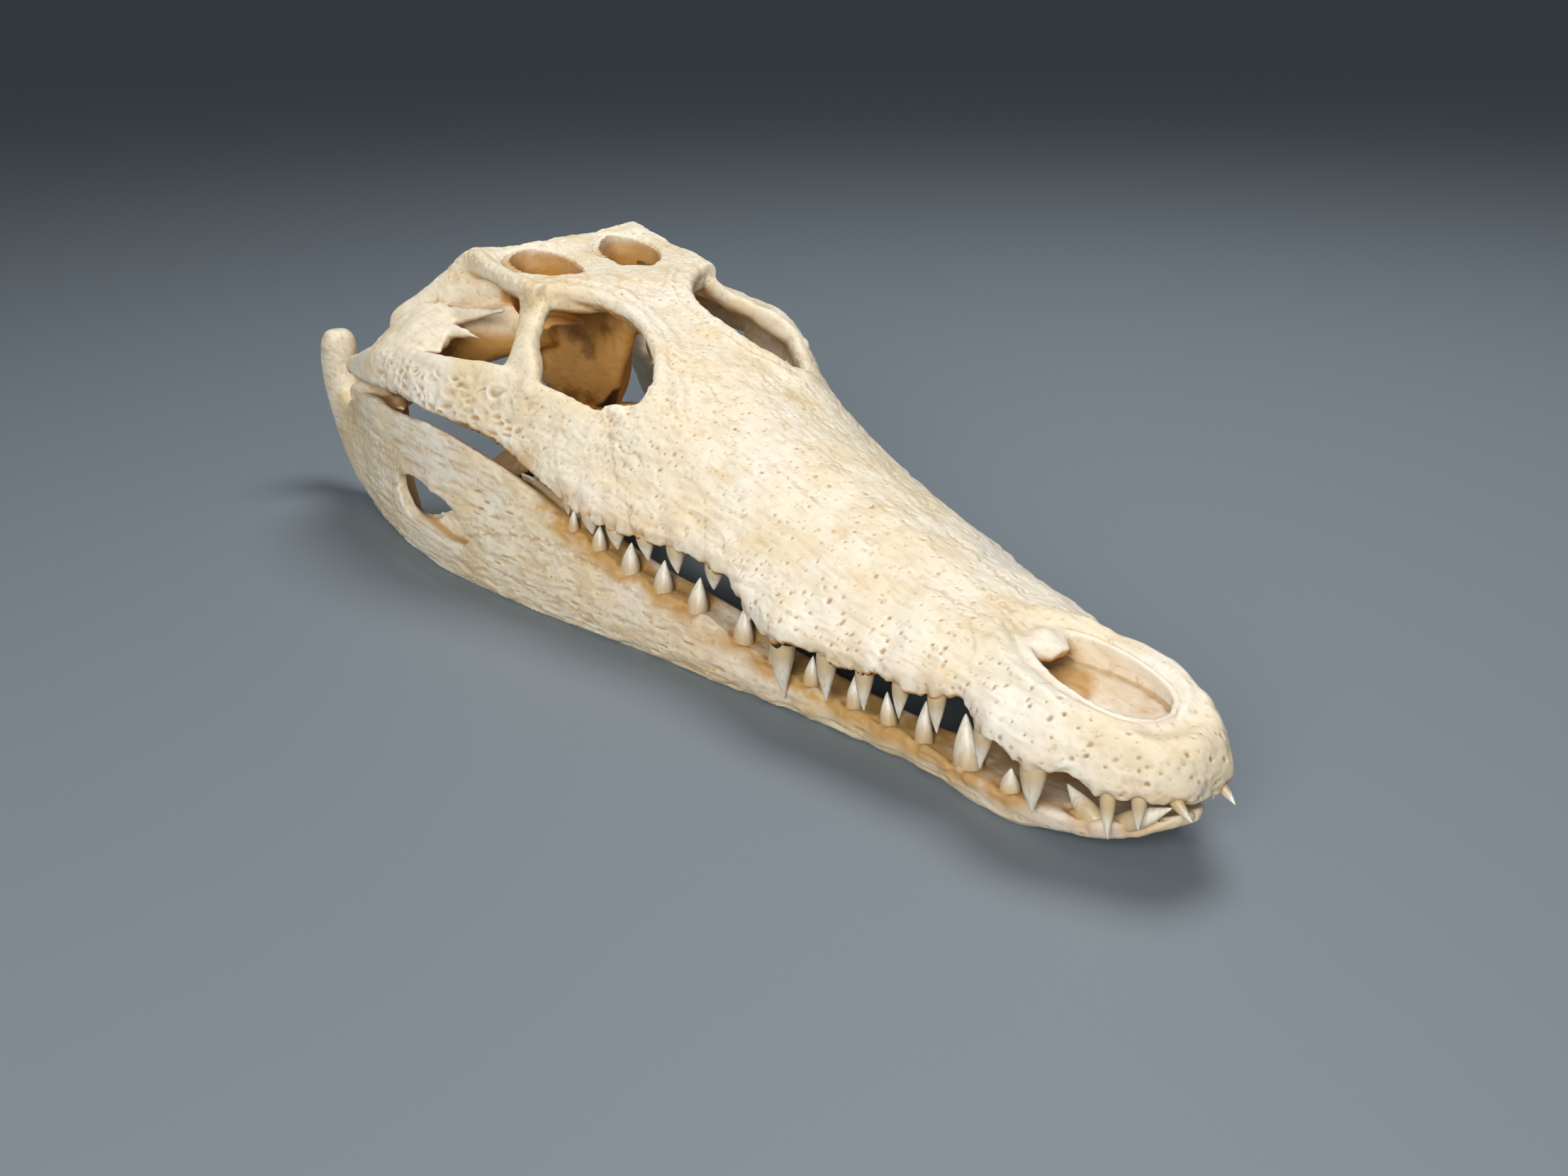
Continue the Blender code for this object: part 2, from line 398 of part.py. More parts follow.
def ramus_pieces(side):
    body = solid("ramus", ramus_rings(), side)
    hook = plate("retroarticular", [(272, 54, 1.5, 264, 53.5, 32, 5.5),
        (284, 54, 1.6, 276, 53.5, 34, 5.5), (296, 54.2, 4.6, 287, 53.6, 33, 5.2),
        (306, 54.2, 11.5, 297, 53.2, 31, 4.9), (314.5, 54, 21.5, 303.5, 52.8, 32, 4.8),
        (319.4, 54, 31.5, 306, 52.6, 37, 5.0), (319.6, 53.8, 40, 307, 52.4, 43, 5.2),
        (317.8, 53.4, 46.4, 308, 52.4, 47.8, 4.8), (316, 53.3, 49.4, 310, 52.5, 50.0, 3.0)], side,
        power=0.8)
    socket = bar("jaw_socket", [(281, 43, 36.3, 7.8, 4.8, 0), (281, 47, 36, 9, 5.5, 0),
        (281, 53, 35.5, 9, 5.5, 0), (280, 56.5, 35, 8, 4.8, 0)], side)
    return [body, hook, socket]


JAW_WINDOW = [(243.8, 21.4), (236.8, 23.6), (229.5, 24.2), (221, 23.4), (215, 22.2), (208.7, 20),
    (204, 16.8), (202.4, 14.6), (204.6, 12), (210.5, 11.2), (218.6, 10.7), (228.5, 10.6), (237.7, 11.2),
    (242.5, 14), (244.6, 17.8)]


def ramus_cutters(side):
    """The window in the flank, the open trough behind it and the room for the jaw joint."""
    flat = round_curve(JAW_WINDOW, 36, closed=True)
    window = solid("jaw_window", [np.column_stack([flat[:, 0], np.full(36, y), flat[:, 1]])
        for y in (53.5, 72)], side)
    trough = bar("jaw_trough", [(186, 45.0, 33, 3.4, 2, 90), (198, 47.4, 27, 11, 2.6, 90),
        (218, 52.2, 28.5, 14.5, 3.2, 90), (230, 53.2, 27.5, 15.5, 3.2, 90),
        (243, 54.0, 25.5, 17.5, 3.2, 90), (256, 54.0, 25, 16, 3.0, 90), (266, 53.6, 30, 7, 2, 90)], side,
        power=0.7)
    inner = bar("jaw_inner_gap", [(194, 42, 31, 5, 5, 90), (210, 45.5, 29, 12, 6, 90),
        (230, 48.0, 27, 14, 6, 90), (252, 48.4, 23, 17, 6, 90), (266, 47.4, 26, 11, 5, 90)], side,
        power=0.7)
    joint = bar("joint_room", [(276.5, 32, 47.6, 10, 5.6, 0), (277.5, 46.5, 46.6, 9.4, 6.0, 0),
        (279, 51.5, 46.2, 6.6, 5.0, 0), (280, 64, 45, 5.2, 4.4, 0)], side, power=0.85)
    return [window, trough, inner, joint]


def trimmed(ramus, side):
    """Cuts the jaw's half flat where it rests and where it meets the other half."""
    ground = block("ground", [(-20, -20), (340, -20), (340, 90), (-20, 90)], -20, 0, side)
    middle = block("midline", [(-20, -20), (340, -20), (340, SUTURE / 2), (-20, SUTURE / 2)], -30, 60, side)
    boolean(ramus, [ground, middle], "DIFFERENCE")


# Teeth: (s, crown length, width, outward lean in degrees, forward lean in degrees).

UPPER_TEETH = [(2.8, 4.6, 2.4, 4, 60), (7.4, 6.6, 3.0, 8, 6), (11.7, 9.2, 3.1, 6, 4),
    (24.5, 10.8, 5.6, 4, -4), (37.0, 10.0, 4.2, 4, -10), (51.2, 9.8, 4.0, 2, -4), (59.2, 8.6, 4.2, 2, -8),
    (68.8, 10.2, 4.2, 2, -8), (79.0, 13.0, 5.2, 2, -8), (91.9, 16.4, 6.2, 2, -10),
    (104.8, 5.4, 3.6, 2, -6), (119.5, 6.6, 5.5, 2, -10), (132.0, 6.8, 5.5, 2, -2),
    (141.5, 7.0, 5.4, 2, -2), (150.5, 6.0, 5.2, 2, 0), (159.0, 5.0, 4.6, 2, 0), (167.0, 4.0, 3.0, 2, -6)]
LOWER_TEETH = [(10.5, 8.6, 3.8, -10, 52), (17.5, 7.4, 4.6, 6, -62), (35.0, 5.2, 4.6, 10, 6),
    (47.0, 10.4, 6.2, 6, -6), (59.2, 9.0, 4.2, 4, 0), (69.0, 7.0, 4.0, 4, -10), (78.7, 7.2, 4.0, 2, 0),
    (91.0, 6.0, 3.8, 0, 0), (101.5, 6.4, 4.8, -2, 0), (112.0, 7.6, 5.3, -2, 0), (126.0, 7.4, 5.3, -2, -2),
    (136.5, 7.0, 5.3, -2, 0), (147.0, 6.4, 5.0, -2, 0), (157.0, 5.6, 4.5, -2, 0),
    (165.0, 5.2, 3.2, -2, 0)]
ROOT = 4.5                  # how deep a tooth is set in its bone


def tooth(base, long, wide, out, forward, down, side, sides=6):
    """A cone that bends in towards its tip; down is -1 in the upper jaw and +1 in the lower."""
    lean = math.radians(out)
    pitch = math.radians(forward)
    axis = Vector((-math.sin(pitch), math.sin(lean), down * math.cos(lean) * math.cos(pitch))).normalized()
    inward = Vector((0, -1, 0))
    rings = []
    for t, share in ((-ROOT / long, 0.86), (0.0, 1.0), (0.55, 0.74), (1.0, 0.10)):
        centre = Vector(base) + axis * (long * t) + inward * (0.10 * long * max(t, 0) ** 2)
        radius = 0.5 * wide * share
        u = axis.cross(Vector((0, 1, 0))).normalized()
        v = axis.cross(u)
        rings.append(np.array([centre + u * (radius * math.cos(a)) + v * (0.86 * radius * math.sin(a))
            for a in (2 * math.pi * k / sides for k in range(sides))]))
    return solid("tooth", rings, side)


def tooth_row(rows, edge, inset, raise_by, down, seed):
    """Both sides' teeth, each a little different in length, width and lean."""
    draw = random.Random(seed)
    found = {}
    for side in (-1, 1):
        found[side] = []
        for s, long, wide, out, forward in rows:
            y, z = smooth(edge, [s])[0]
            base = (s + draw.uniform(-0.3, 0.3), max(y - inset - 0.35 * wide, 1.6), z + raise_by)
            found[side].append(tooth(base, long * draw.uniform(0.95, 1.04), wide * draw.uniform(0.95,
                1.05), out + draw.uniform(-2, 2), forward + draw.uniform(-2, 2), down, side))
    return found


# Joining, cutting and dividing.

def settle(obj):
    """Applies the object's modifiers."""
    bpy.context.view_layer.update()
    graph = bpy.context.evaluated_depsgraph_get()
    mesh = bpy.data.meshes.new_from_object(obj.evaluated_get(graph))
    obj.modifiers.clear()
    old, obj.data = obj.data, mesh
    bpy.data.meshes.remove(old)


def discard(objects):
    for obj in objects:
        mesh = obj.data
        bpy.data.objects.remove(obj)
        bpy.data.meshes.remove(mesh)


def boolean(obj, others, operation):
    """One Boolean with a collection of closed meshes, which are then removed."""
    group = bpy.data.collections.new("operands")
    bpy.context.scene.collection.children.link(group)
    for other in others:
        group.objects.link(other)
    modifier = obj.modifiers.new(operation.title(), "BOOLEAN")
    modifier.operation = operation
    modifier.operand_type = "COLLECTION"
    modifier.collection = group
    modifier.solver = "MANIFOLD"
    settle(obj)
    discard(others)
    bpy.data.collections.remove(group)


def joined(name, pieces):
    """The pieces' faces in one mesh, still overlapping."""
    build = bmesh.new()
    for piece in pieces:
        build.from_mesh(piece.data)
    mesh = bpy.data.meshes.new(name)
    build.to_mesh(mesh)
    build.free()
    discard(pieces)
    obj = bpy.data.objects.new(name, mesh)
    bpy.context.scene.collection.objects.link(obj)
    return obj


def remesh(obj, voxel):
    modifier = obj.modifiers.new("Remesh", "REMESH")
    modifier.mode = "VOXEL"
    modifier.voxel_size = voxel * MM
    settle(obj)


def soften(obj, rounds):
    modifier = obj.modifiers.new("Smooth", "SMOOTH")
    modifier.factor = 0.5
    modifier.iterations = rounds
    settle(obj)


def thin_out(obj, triangles):
    now = sum(len(p.vertices) - 2 for p in obj.data.polygons)
    modifier = obj.modifiers.new("Decimate", "DECIMATE")
    modifier.ratio = min(1.0, triangles / now)
    settle(obj)


def keep_largest(obj):
    """Leaves only the largest closed surface."""
    build = bmesh.new()
    build.from_mesh(obj.data)
    left, groups = set(build.verts), []
    while left:
        group, front = set(), [left.pop()]
        while front:
            vert = front.pop()
            group.add(vert)
            for link in vert.link_edges:
                other = link.other_vert(vert)
                if other in left:
                    left.discard(other)
                    front.append(other)
        groups.append(group)
    groups.sort(key=len)
    bmesh.ops.delete(build, geom=[v for g in groups[:-1] for v in g], context="VERTS")
    bmesh.ops.recalc_face_normals(build, faces=build.faces)
    build.to_mesh(obj.data)
    build.free()


def snout_piece():
    snout = joined("snout", [solid("snout", snout_rings())])
    boolean(snout, [cavity_cutter()] + both(prism, "orbit", ORBIT, 46, 90), "DIFFERENCE")
    return snout


def cranium_cutters():
    windows = both(prism, "upper_window", UPPER_WINDOW, 60, 90)
    gaps = both(prism, "palate_window", PALATE_WINDOW, 20, 41.5)
    choana = ball("choana", (238, 0, 28), (5.5, 5.5, 4))
    brain_door = ball("foramen_magnum", (261, 0, 61.5), (9, 4.6, 4.0))
    return windows + gaps + nostril_cutters() + [choana, brain_door]


def bone(name, pieces, cutters, triangles):
    """Fuses the pieces, opens the cutters' holes, rounds every edge and thins the mesh."""
    obj = joined(name, pieces)
    remesh(obj, VOXEL)
    boolean(obj, cutters, "DIFFERENCE")
    remesh(obj, VOXEL)
    soften(obj, 6)
    keep_largest(obj)
    thin_out(obj, triangles)
    return obj


def fused_cranium():
    pieces = [snout_piece(), table_piece()] + nostril_pieces() + frontal_pieces() + braincase_pieces()
    return bone("cranium", pieces + cheek_pieces() + palate_pieces(), cranium_cutters(), CRANIUM_TRIANGLES)


# Where the cranium is parted: the snout ends at one station, the cheeks lie outside one line and the palate
# lies below one height.

SNOUT_END = 155.0
CHEEK_LINE = [(SNOUT_END - 9, 25.0), (172, 25.0), (190, 33.5), (300, 33.5)]
PALATE_LINE = [(SNOUT_END - 9, 25.0), (175, 25.0), (188, 36.0), (194, 44.0), (249, 44.0)]
PALATE_TOP = 41.5


def grown(outline, by):
    """The (s, y) outline with every side moved outwards, its corners mitred."""
    p = np.asarray(outline, float)
    sides = np.roll(p, -1, axis=0) - p
    turning = np.sign(np.sum(p[:, 0] * np.roll(p[:, 1], -1) - p[:, 1] * np.roll(p[:, 0], -1)))
    out = turning * np.column_stack([sides[:, 1], -sides[:, 0]]) / np.linalg.norm(sides, axis=1)[:, None]
    last = np.roll(out, 1, axis=0)
    return p + by * (out + last) / (1 + np.sum(out * last, axis=1))[:, None]


# The regions below are bounded by the middle of the gap: grown by half a gap they cut the neighbour, shrunk
# by half a gap they hold the bone itself.

def rear_half(grow):
    outline = [(SNOUT_END, -90), (340, -90), (340, 90), (SNOUT_END, 90)]
    return block("rear", grown(outline, grow), -20, 110)


def cheek_region(side, grow):
    return block("cheek", grown(CHEEK_LINE + [(300, 90), (SNOUT_END - 9, 90)], grow), -20, 110, side)


def palate_region(grow):
    mirror = [(s, -y) for s, y in PALATE_LINE[::-1]]
    return block("palate", grown(PALATE_LINE + mirror, grow), -20, PALATE_TOP + grow)


def copy_of(obj, name):
    twin = bpy.data.objects.new(name, obj.data.copy())
    bpy.context.scene.collection.objects.link(twin)
    return twin


def parted(cranium):
    """The cranium's named bones, with a thin gap wherever two of them meet."""
    half = SUTURE / 2
    rostrum = copy_of(cranium, "rostrum")
    boolean(rostrum, [rear_half(half)], "DIFFERENCE")
    palate = copy_of(cranium, "palate")
    boolean(palate, [rear_half(-half)], "INTERSECT")
    boolean(palate, [palate_region(-half)], "INTERSECT")
    roof = copy_of(cranium, "skull_roof")
    boolean(roof, [rear_half(-half)], "INTERSECT")
    boolean(roof, [palate_region(half), cheek_region(-1, half), cheek_region(1, half)], "DIFFERENCE")
    cheeks = []
    for side, name in ((-1, "cheek_right"), (1, "cheek_left")):
        cheek = copy_of(cranium, name)
        boolean(cheek, [rear_half(-half)], "INTERSECT")
        boolean(cheek, [cheek_region(side, -half)], "INTERSECT")
        boolean(cheek, [palate_region(half)], "DIFFERENCE")
        cheeks.append(cheek)
    discard([cranium])
    return [rostrum, roof, palate] + cheeks


def clear_scene():
    for obj in list(bpy.data.objects):
        bpy.data.objects.remove(obj)


def material(name, colour, roughness):
    made = bpy.data.materials.new(name)
    made.use_nodes = True
    shader = made.node_tree.nodes["Principled BSDF"]
    shader.inputs["Base Color"].default_value = colour
    shader.inputs["Roughness"].default_value = roughness
    return made


def main():
    clear_scene()
    bones = parted(fused_cranium())
    upper = tooth_row(UPPER_TEETH, SNOUT_MARGIN, 0.6, 0.4, -1, seed=5)
    lower = tooth_row(LOWER_TEETH, JAW_EDGE, 0.6, -0.4, 1, seed=11)
    rear_upper = {}
    for side in (-1, 1):
        rear_upper[side] = [t for t, row in zip(upper[side], UPPER_TEETH) if row[0] > SNOUT_END]
        upper[side] = [t for t, row in zip(upper[side], UPPER_TEETH) if row[0] <= SNOUT_END]
    boolean(bones[0], upper[-1] + upper[1], "UNION")
    boolean(bones[3], rear_upper[-1], "UNION")
    boolean(bones[4], rear_upper[1], "UNION")
    for side, name in ((-1, "mandible_right"), (1, "mandible_left")):
        ramus = bone(name, ramus_pieces(side), ramus_cutters(side), RAMUS_TRIANGLES)
        boolean(ramus, lower[side], "UNION")
        trimmed(ramus, side)
        bones.append(ramus)
    skull = bpy.data.collections.new("crocodile_skull")
    bpy.context.scene.collection.children.link(skull)
    for obj in bones:
        keep_largest(obj)
        bpy.context.scene.collection.objects.unlink(obj)
        skull.objects.link(obj)
        colour = JAW_COLOUR if obj.name.startswith("mandible") else BONE_COLOUR
        obj.data.materials.clear()
        obj.data.materials.append(material(obj.name + "_bone", colour, 0.6))


if __name__ == "__main__":
    main()
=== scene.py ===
"""Looks of a young Nile crocodile's skull: fine bone surface, teeth, stains, light and camera.

Shapes are drawn in millimetres as (s, y, z): s runs back from the snout tip, y out to the animal's left and
z up from the surface that the jaw rests on. Numbers beside s, y and z are places along them.
"""

import math
import random

import bmesh
import bpy
import numpy as np
from mathutils import Euler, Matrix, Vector


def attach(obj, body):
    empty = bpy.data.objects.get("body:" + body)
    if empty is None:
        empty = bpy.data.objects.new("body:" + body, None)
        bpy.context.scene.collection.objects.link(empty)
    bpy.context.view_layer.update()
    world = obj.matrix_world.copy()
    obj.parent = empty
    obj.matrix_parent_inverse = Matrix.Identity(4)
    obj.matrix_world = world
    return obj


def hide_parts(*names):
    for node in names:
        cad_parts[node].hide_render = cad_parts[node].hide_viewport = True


MM = 0.001
MID_S = 160.0               # where the frame's origin lies along s
SUTURE = 0.3                # gap between the halves of the lower jaw
SNOUT_VOXEL = 0.44          # grid of the remesh that fuses the bone
JAW_VOXEL = 0.46
SOFTEN_ROUNDS = 16
HOLLOW_ROUNDS = 7           # how widely the surroundings of a hollow are averaged
DEEP_HOLLOW = 0.35          # how deep a hollow is where its tan is full
SCATTER_DEPTH = 0.0012      # how far light goes below the surface, in metres
FAR_AWAY = 1e3

# Feature lines of the snout, from the tip back: (s, y, z).
SNOUT_MIDLINE = [(0.4, 0, 19.5), (1.6, 0, 22.8), (3.6, 0, 24.8), (6, 0, 26), (9, 0, 26.8), (12, 0, 27.4),
    (24, 0, 29), (38, 0, 30.8), (50, 0, 32.8), (60, 0, 34.6), (70, 0, 36.6), (80, 0, 38.8), (92, 0, 41.4),
    (112, 0, 46), (125, 0, 49.4), (140, 0, 53.4), (155, 0, 57.6), (165, 0, 61), (178, 0, 64.5)]
SNOUT_SHOULDER = [(0.4, 2, 18.5), (1.6, 4.6, 21.6), (3.6, 6.8, 23.6), (6, 8.6, 24.8), (9, 10.2, 25.6),
    (13, 11.8, 26.6), (18, 13.2, 27.6), (24, 14.8, 28.6), (32, 14.6, 29.8), (40, 13, 30.4), (46, 12.8, 31),
    (52, 14, 31.5), (60, 16, 31.6), (70, 18.2, 31.4), (80, 19.8, 32.8), (92, 21.5, 34.8), (100, 22, 36.3),
    (112, 22, 38.8), (125, 22.6, 41.6), (140, 24.4, 45.6), (155, 25.4, 51.6), (165, 26.5, 55),
    (178, 30.5, 55)]
SNOUT_CHEEK = [(0.4, 3.2, 17.2), (1.6, 6.2, 19.4), (3.6, 8.4, 20.2), (6, 10.4, 20.4), (9, 12.8, 20.4),
    (13, 15.6, 20.6), (18, 17.8, 21.4), (24, 20.6, 21.6), (32, 20.8, 23.4), (40, 19.4, 25.2),
    (46, 18.8, 26.4), (52, 21.2, 25.2), (60, 23.9, 24.6), (70, 26.1, 24.6), (80, 28.5, 24.4),
    (92, 31.6, 24.4), (100, 31.2, 27), (112, 30.6, 30.6), (125, 32.2, 32.2), (140, 36, 33.6),
    (155, 39.6, 35.4), (165, 41.4, 38.2), (178, 43.2, 40.6)]
SNOUT_MARGIN = [(0.4, 2.6, 15.2), (1.6, 5.4, 15.4), (3.6, 7.6, 16), (6, 9.8, 15.9), (9, 12.2, 15),
    (12.5, 14.8, 14.9), (16, 16.6, 16.6), (19, 17.8, 18.2), (24, 21.2, 17), (28, 21.8, 19.2),
    (32, 22.2, 20.2), (37, 21.8, 19.4), (41, 20.2, 22.4), (45, 19.4, 23.2), (51, 22, 21), (59, 24.2, 20.6),
    (64, 25.2, 21.6), (69, 26.4, 20), (79, 28.8, 20.4), (86, 30.4, 21.4), (92, 32, 19.8), (99, 31.8, 21.6),
    (105, 31.5, 24.2), (112, 31.2, 27.6), (119, 31.8, 27.4), (125, 33, 29), (132, 34.8, 28.6),
    (141, 37.6, 29.2), (149, 40.5, 29.4), (159, 43.4, 30.2), (169, 44.8, 32.6), (178, 46, 35.2)]
SNOUT_START = 0.4


def smooth(points, at):
    """Values at `at` of a smooth curve through rows of (position, value, value...), with no overshoot."""
    rows = np.asarray(points, float)
    knots, values = rows[:, 0], rows[:, 1:]
    step = np.diff(knots)[:, None]
    slope = np.diff(values, axis=0) / step
    inner = np.where(slope[:-1] * slope[1:] > 0, 2 * slope[:-1] * slope[1:] / (slope[:-1] + slope[1:]
        + 1e-12), 0)
    tangent = np.vstack([slope[:1], inner, slope[-1:]])
    at = np.clip(np.atleast_1d(at), knots[0], knots[-1])
    k = np.clip(np.searchsorted(knots, at, side="right") - 1, 0, len(knots) - 2)
    t = ((at - knots[k]) / step[k, 0])[:, None]
    return ((2 * t**3 - 3 * t**2 + 1) * values[k] + (t**3 - 2 * t**2 + t) * step[k] * tangent[k]
        + (3 * t**2 - 2 * t**3) * values[k + 1] + (t**3 - t**2) * step[k] * tangent[k + 1])


def round_curve(points, count, closed=False):
    """Points evenly spread in parameter along a Catmull-Rom curve through the given ones."""
    p = np.asarray(points, float)
    spans = len(p) if closed else len(p) - 1
    padded = np.vstack([p[-1:], p, p[:2]]) if closed else np.vstack([2 * p[0] - p[1], p, 2 * p[-1] - p[-2]])
    at = np.linspace(0, spans, count, endpoint=not closed)
    k = np.minimum(at.astype(int), spans - 1)
    t = (at - k)[:, None]
    a, b, c, d = (padded[k + i] for i in range(4))
    return 0.5 * (2 * b + (c - a) * t + (2 * a - 5 * b + 4 * c - d) * t**2 + (3 * b - a - 3 * c + d) * t**3)


def squared(angle, power):
    """Cosine and sine of the angles, pushed out towards a square for a power below 1."""
    return [np.sign(f) * np.abs(f) ** power for f in (np.cos(angle), np.sin(angle))]


def to_world(rows):
    """(s, y, z) in millimetres to the part's frame: metres, snout towards +X."""
    p = np.asarray(rows, float)
    return np.column_stack([MID_S - p[:, 0], p[:, 1], p[:, 2]]) * MM


def solid(name, rings, side=1):
    """A closed loft through rings of equal length, its two ends closed by fans."""
    count, around = len(rings), len(rings[0])
    points = np.vstack(rings) * (1, side, 1)
    ends = np.array([rings[0].mean(0), rings[-1].mean(0)]) * (1, side, 1)
    mesh = bpy.data.meshes.new(name)
    build = bmesh.new()
    verts = [build.verts.new(p) for p in to_world(np.vstack([points, ends]))]
    for i in range(count - 1):
        for j in range(around):
            k = (j + 1) % around
            build.faces.new([verts[i * around + j], verts[i * around + k], verts[(i + 1) * around + k],
                verts[(i + 1) * around + j]])
    for centre, first in ((verts[-2], 0), (verts[-1], (count - 1) * around)):
        for j in range(around):
            build.faces.new([centre, verts[first + j], verts[first + (j + 1) % around]])
    bmesh.ops.recalc_face_normals(build, faces=build.faces)
    build.to_mesh(mesh)
    build.free()
    return bpy.data.objects.new(name, mesh)


def both(make, *args, **options):
    """The same piece on the right (-y) and on the left (+y)."""
    return [make(*args, side=side, **options) for side in (-1, 1)]


def bar(name, path, side=1, around=30, steps=40, up=(0, 0, 1), power=1.0):
    """A strut of bone: path rows are (s, y, z, half width, half thickness, and a tilt in degrees if any).

    The width lies across the path and level without a tilt; power below 1 squares the section.
    """
    rows = round_curve(path, steps)
    centre = rows[:, :3]
    along = np.gradient(centre, axis=0)
    along /= np.linalg.norm(along, axis=1)[:, None]
    across = np.cross(along, up)
    across /= np.linalg.norm(across, axis=1)[:, None]
    normal = np.cross(across, along)
    c, s = squared(np.linspace(0, 2 * math.pi, around, endpoint=False), power)
    rings = []
    turns = np.radians(rows[:, 5]) if rows.shape[1] > 5 else np.zeros(steps)
    for i, (wide, thick) in enumerate(rows[:, 3:5]):
        turn = turns[i]
        u = across[i] * math.cos(turn) + normal[i] * math.sin(turn)
        v = normal[i] * math.cos(turn) - across[i] * math.sin(turn)
        rings.append(centre[i] + np.outer(c * wide, u) + np.outer(s * thick, v))
    return solid(name, rings, side)


def plate(name, rows, side=1, around=40, steps=60, power=0.75):
    """A flat bone between two edges: rows are (s, y, z of one, s, y, z of the other, half thickness)."""
    fine = round_curve(rows, steps)
    one, two, thick = fine[:, :3], fine[:, 3:6], fine[:, 6]
    centre, half = (one + two) / 2, (two - one) / 2
    along = np.gradient(centre, axis=0)
    normal = np.cross(along, half)
    normal /= np.linalg.norm(normal, axis=1)[:, None]
    c, s = squared(np.linspace(0, 2 * math.pi, around, endpoint=False), power)
    rings = [centre[i] + np.outer(c, half[i]) + np.outer(s * thick[i], normal[i]) for i in range(len(fine))]
    return solid(name, rings, side)


def block(name, outline, low, high, side=1):
    """An upright prism on a straight-sided (s, y) outline."""
    flat = np.asarray(outline, float)
    return solid(name, [np.column_stack([flat, np.full(len(flat), z)]) for z in (low, high)], side)


def prism(name, outline, low, high, side=1, count=110):
    """An upright prism on a smooth closed (s, y) outline."""
    return block(name, round_curve(outline, count, closed=True), low, high, side)


def oval_tube(name, rows, ends, stations, around, power):
    """A tube of squared ovals round the midline: rows are (s, half width, low, high)."""
    rings = []
    c, t = squared(np.linspace(0, 2 * math.pi, around, endpoint=False), power)
    at = np.linspace(*ends, stations)
    for s, (half, low, high) in zip(at, smooth(rows, at)):
        rings.append(np.column_stack([np.full(around, s), half * c, (low + high) / 2 + (high - low) / 2
            * t]))
    return solid(name, rings)


def ball(name, centre, radii, side=1, around=40, steps=24):
    """An ellipsoid."""
    lat = np.linspace(-math.pi / 2, math.pi / 2, steps + 2)[1:-1]
    lon = np.linspace(0, 2 * math.pi, around, endpoint=False)
    rings = [np.array(centre) + np.column_stack([np.full(around, radii[0] * math.sin(a)), radii[1]
        * math.cos(a) * np.cos(lon), radii[2] * math.cos(a) * np.sin(lon)]) for a in lat]
    return solid(name, rings, side)


# The snout: premaxillae, maxillae, nasals and the front of the palate.

# Height of the palate at the midline, as (s, z).
SNOUT_PALATE = [(0.4, 15.8), (5, 15.2), (12, 15.6), (24, 16.8), (36, 19), (45, 20.6), (60, 20.4),
    (92, 21.4), (112, 25.4), (141, 29.4), (160, 31.6), (178, 34.6)]


def snout_rings(stations=150, over=40, under=18):
    """Sections of the snout from its tip back: the vault above, the flat palate below."""
    s = SNOUT_START + (178 - SNOUT_START) * np.linspace(0, 1, stations) ** 1.3
    lines = [smooth(line, s) for line in (SNOUT_MARGIN, SNOUT_CHEEK, SNOUT_SHOULDER, SNOUT_MIDLINE)]
    vault = smooth(SNOUT_PALATE, s)[:, 0]
    rings = []
    for i, at in enumerate(s):
        margin, cheek, shoulder, middle = (line[i] for line in lines)
        brow = (shoulder + middle) / 2 + (0, 0.2 * (middle[1] - shoulder[1]))
        top = round_curve([margin, cheek, shoulder, brow, middle], over)
        inner = margin * (0.78, 1) + (0, 0.2)
        palate = np.array([0, vault[i]])
        floor = round_curve([margin, inner, palate + (0.45 * margin[0], -0.2), palate], under)
        half = np.vstack([floor[:0:-1], top])
        whole = np.vstack([half, half[-2:0:-1] * (-1, 1)])
        rings.append(np.column_stack([np.full(len(whole), at), whole]))
    return rings


# Openings of the skull, as (s, y) outlines on the left side.

ORBIT = [(165.6, 19.2), (163.8, 23), (164.6, 26.4), (168.6, 28.8), (173, 31), (180.5, 34.8), (187, 37),
    (190.5, 38), (196, 34.6), (201, 30.4), (206.5, 26.5), (211.5, 22.5), (209.5, 17), (203, 12.6),
    (194, 9.8), (184, 9.4), (176, 11.2), (170, 14.8)]
UPPER_WINDOW = [(222, 11), (226, 7.4), (234, 5.4), (243, 6.4), (249.5, 11), (251, 16), (246, 20.5),
    (236, 21), (227, 17)]
NOSTRIL = [(12.2, 0), (14, 4.8), (18.6, 7.6), (26, 8.7), (33, 8.3), (39, 6.9), (42, 4.8), (40.4, 2.8),
    (38, 1.6), (36.4, 0)]
PALATE_WINDOW = [(126, 19), (134, 15.5), (150, 13.4), (170, 13.8), (188, 17), (200, 22), (204, 29),
    (198, 35), (184, 38), (166, 36.5), (148, 31.5), (134, 25.5)]


def nostril_cutters():
    """The single bony nostril: a basin that runs back under the nasals."""
    right = [(s, -y) for s, y in NOSTRIL[1:-1][::-1]]
    basin = prism("nostril", NOSTRIL + right, low=24.5, high=40)
    bowl = ball("nostril_bowl", (26, 0, 27), (13.8, 8.3, 6))
    passage = bar("nostril_passage", [(28, 0, 25, 6.5, 2.8), (40, 0, 25.6, 6.2, 2.6), (52, 0, 27, 5, 2.4)])
    return [basin, bowl, passage]


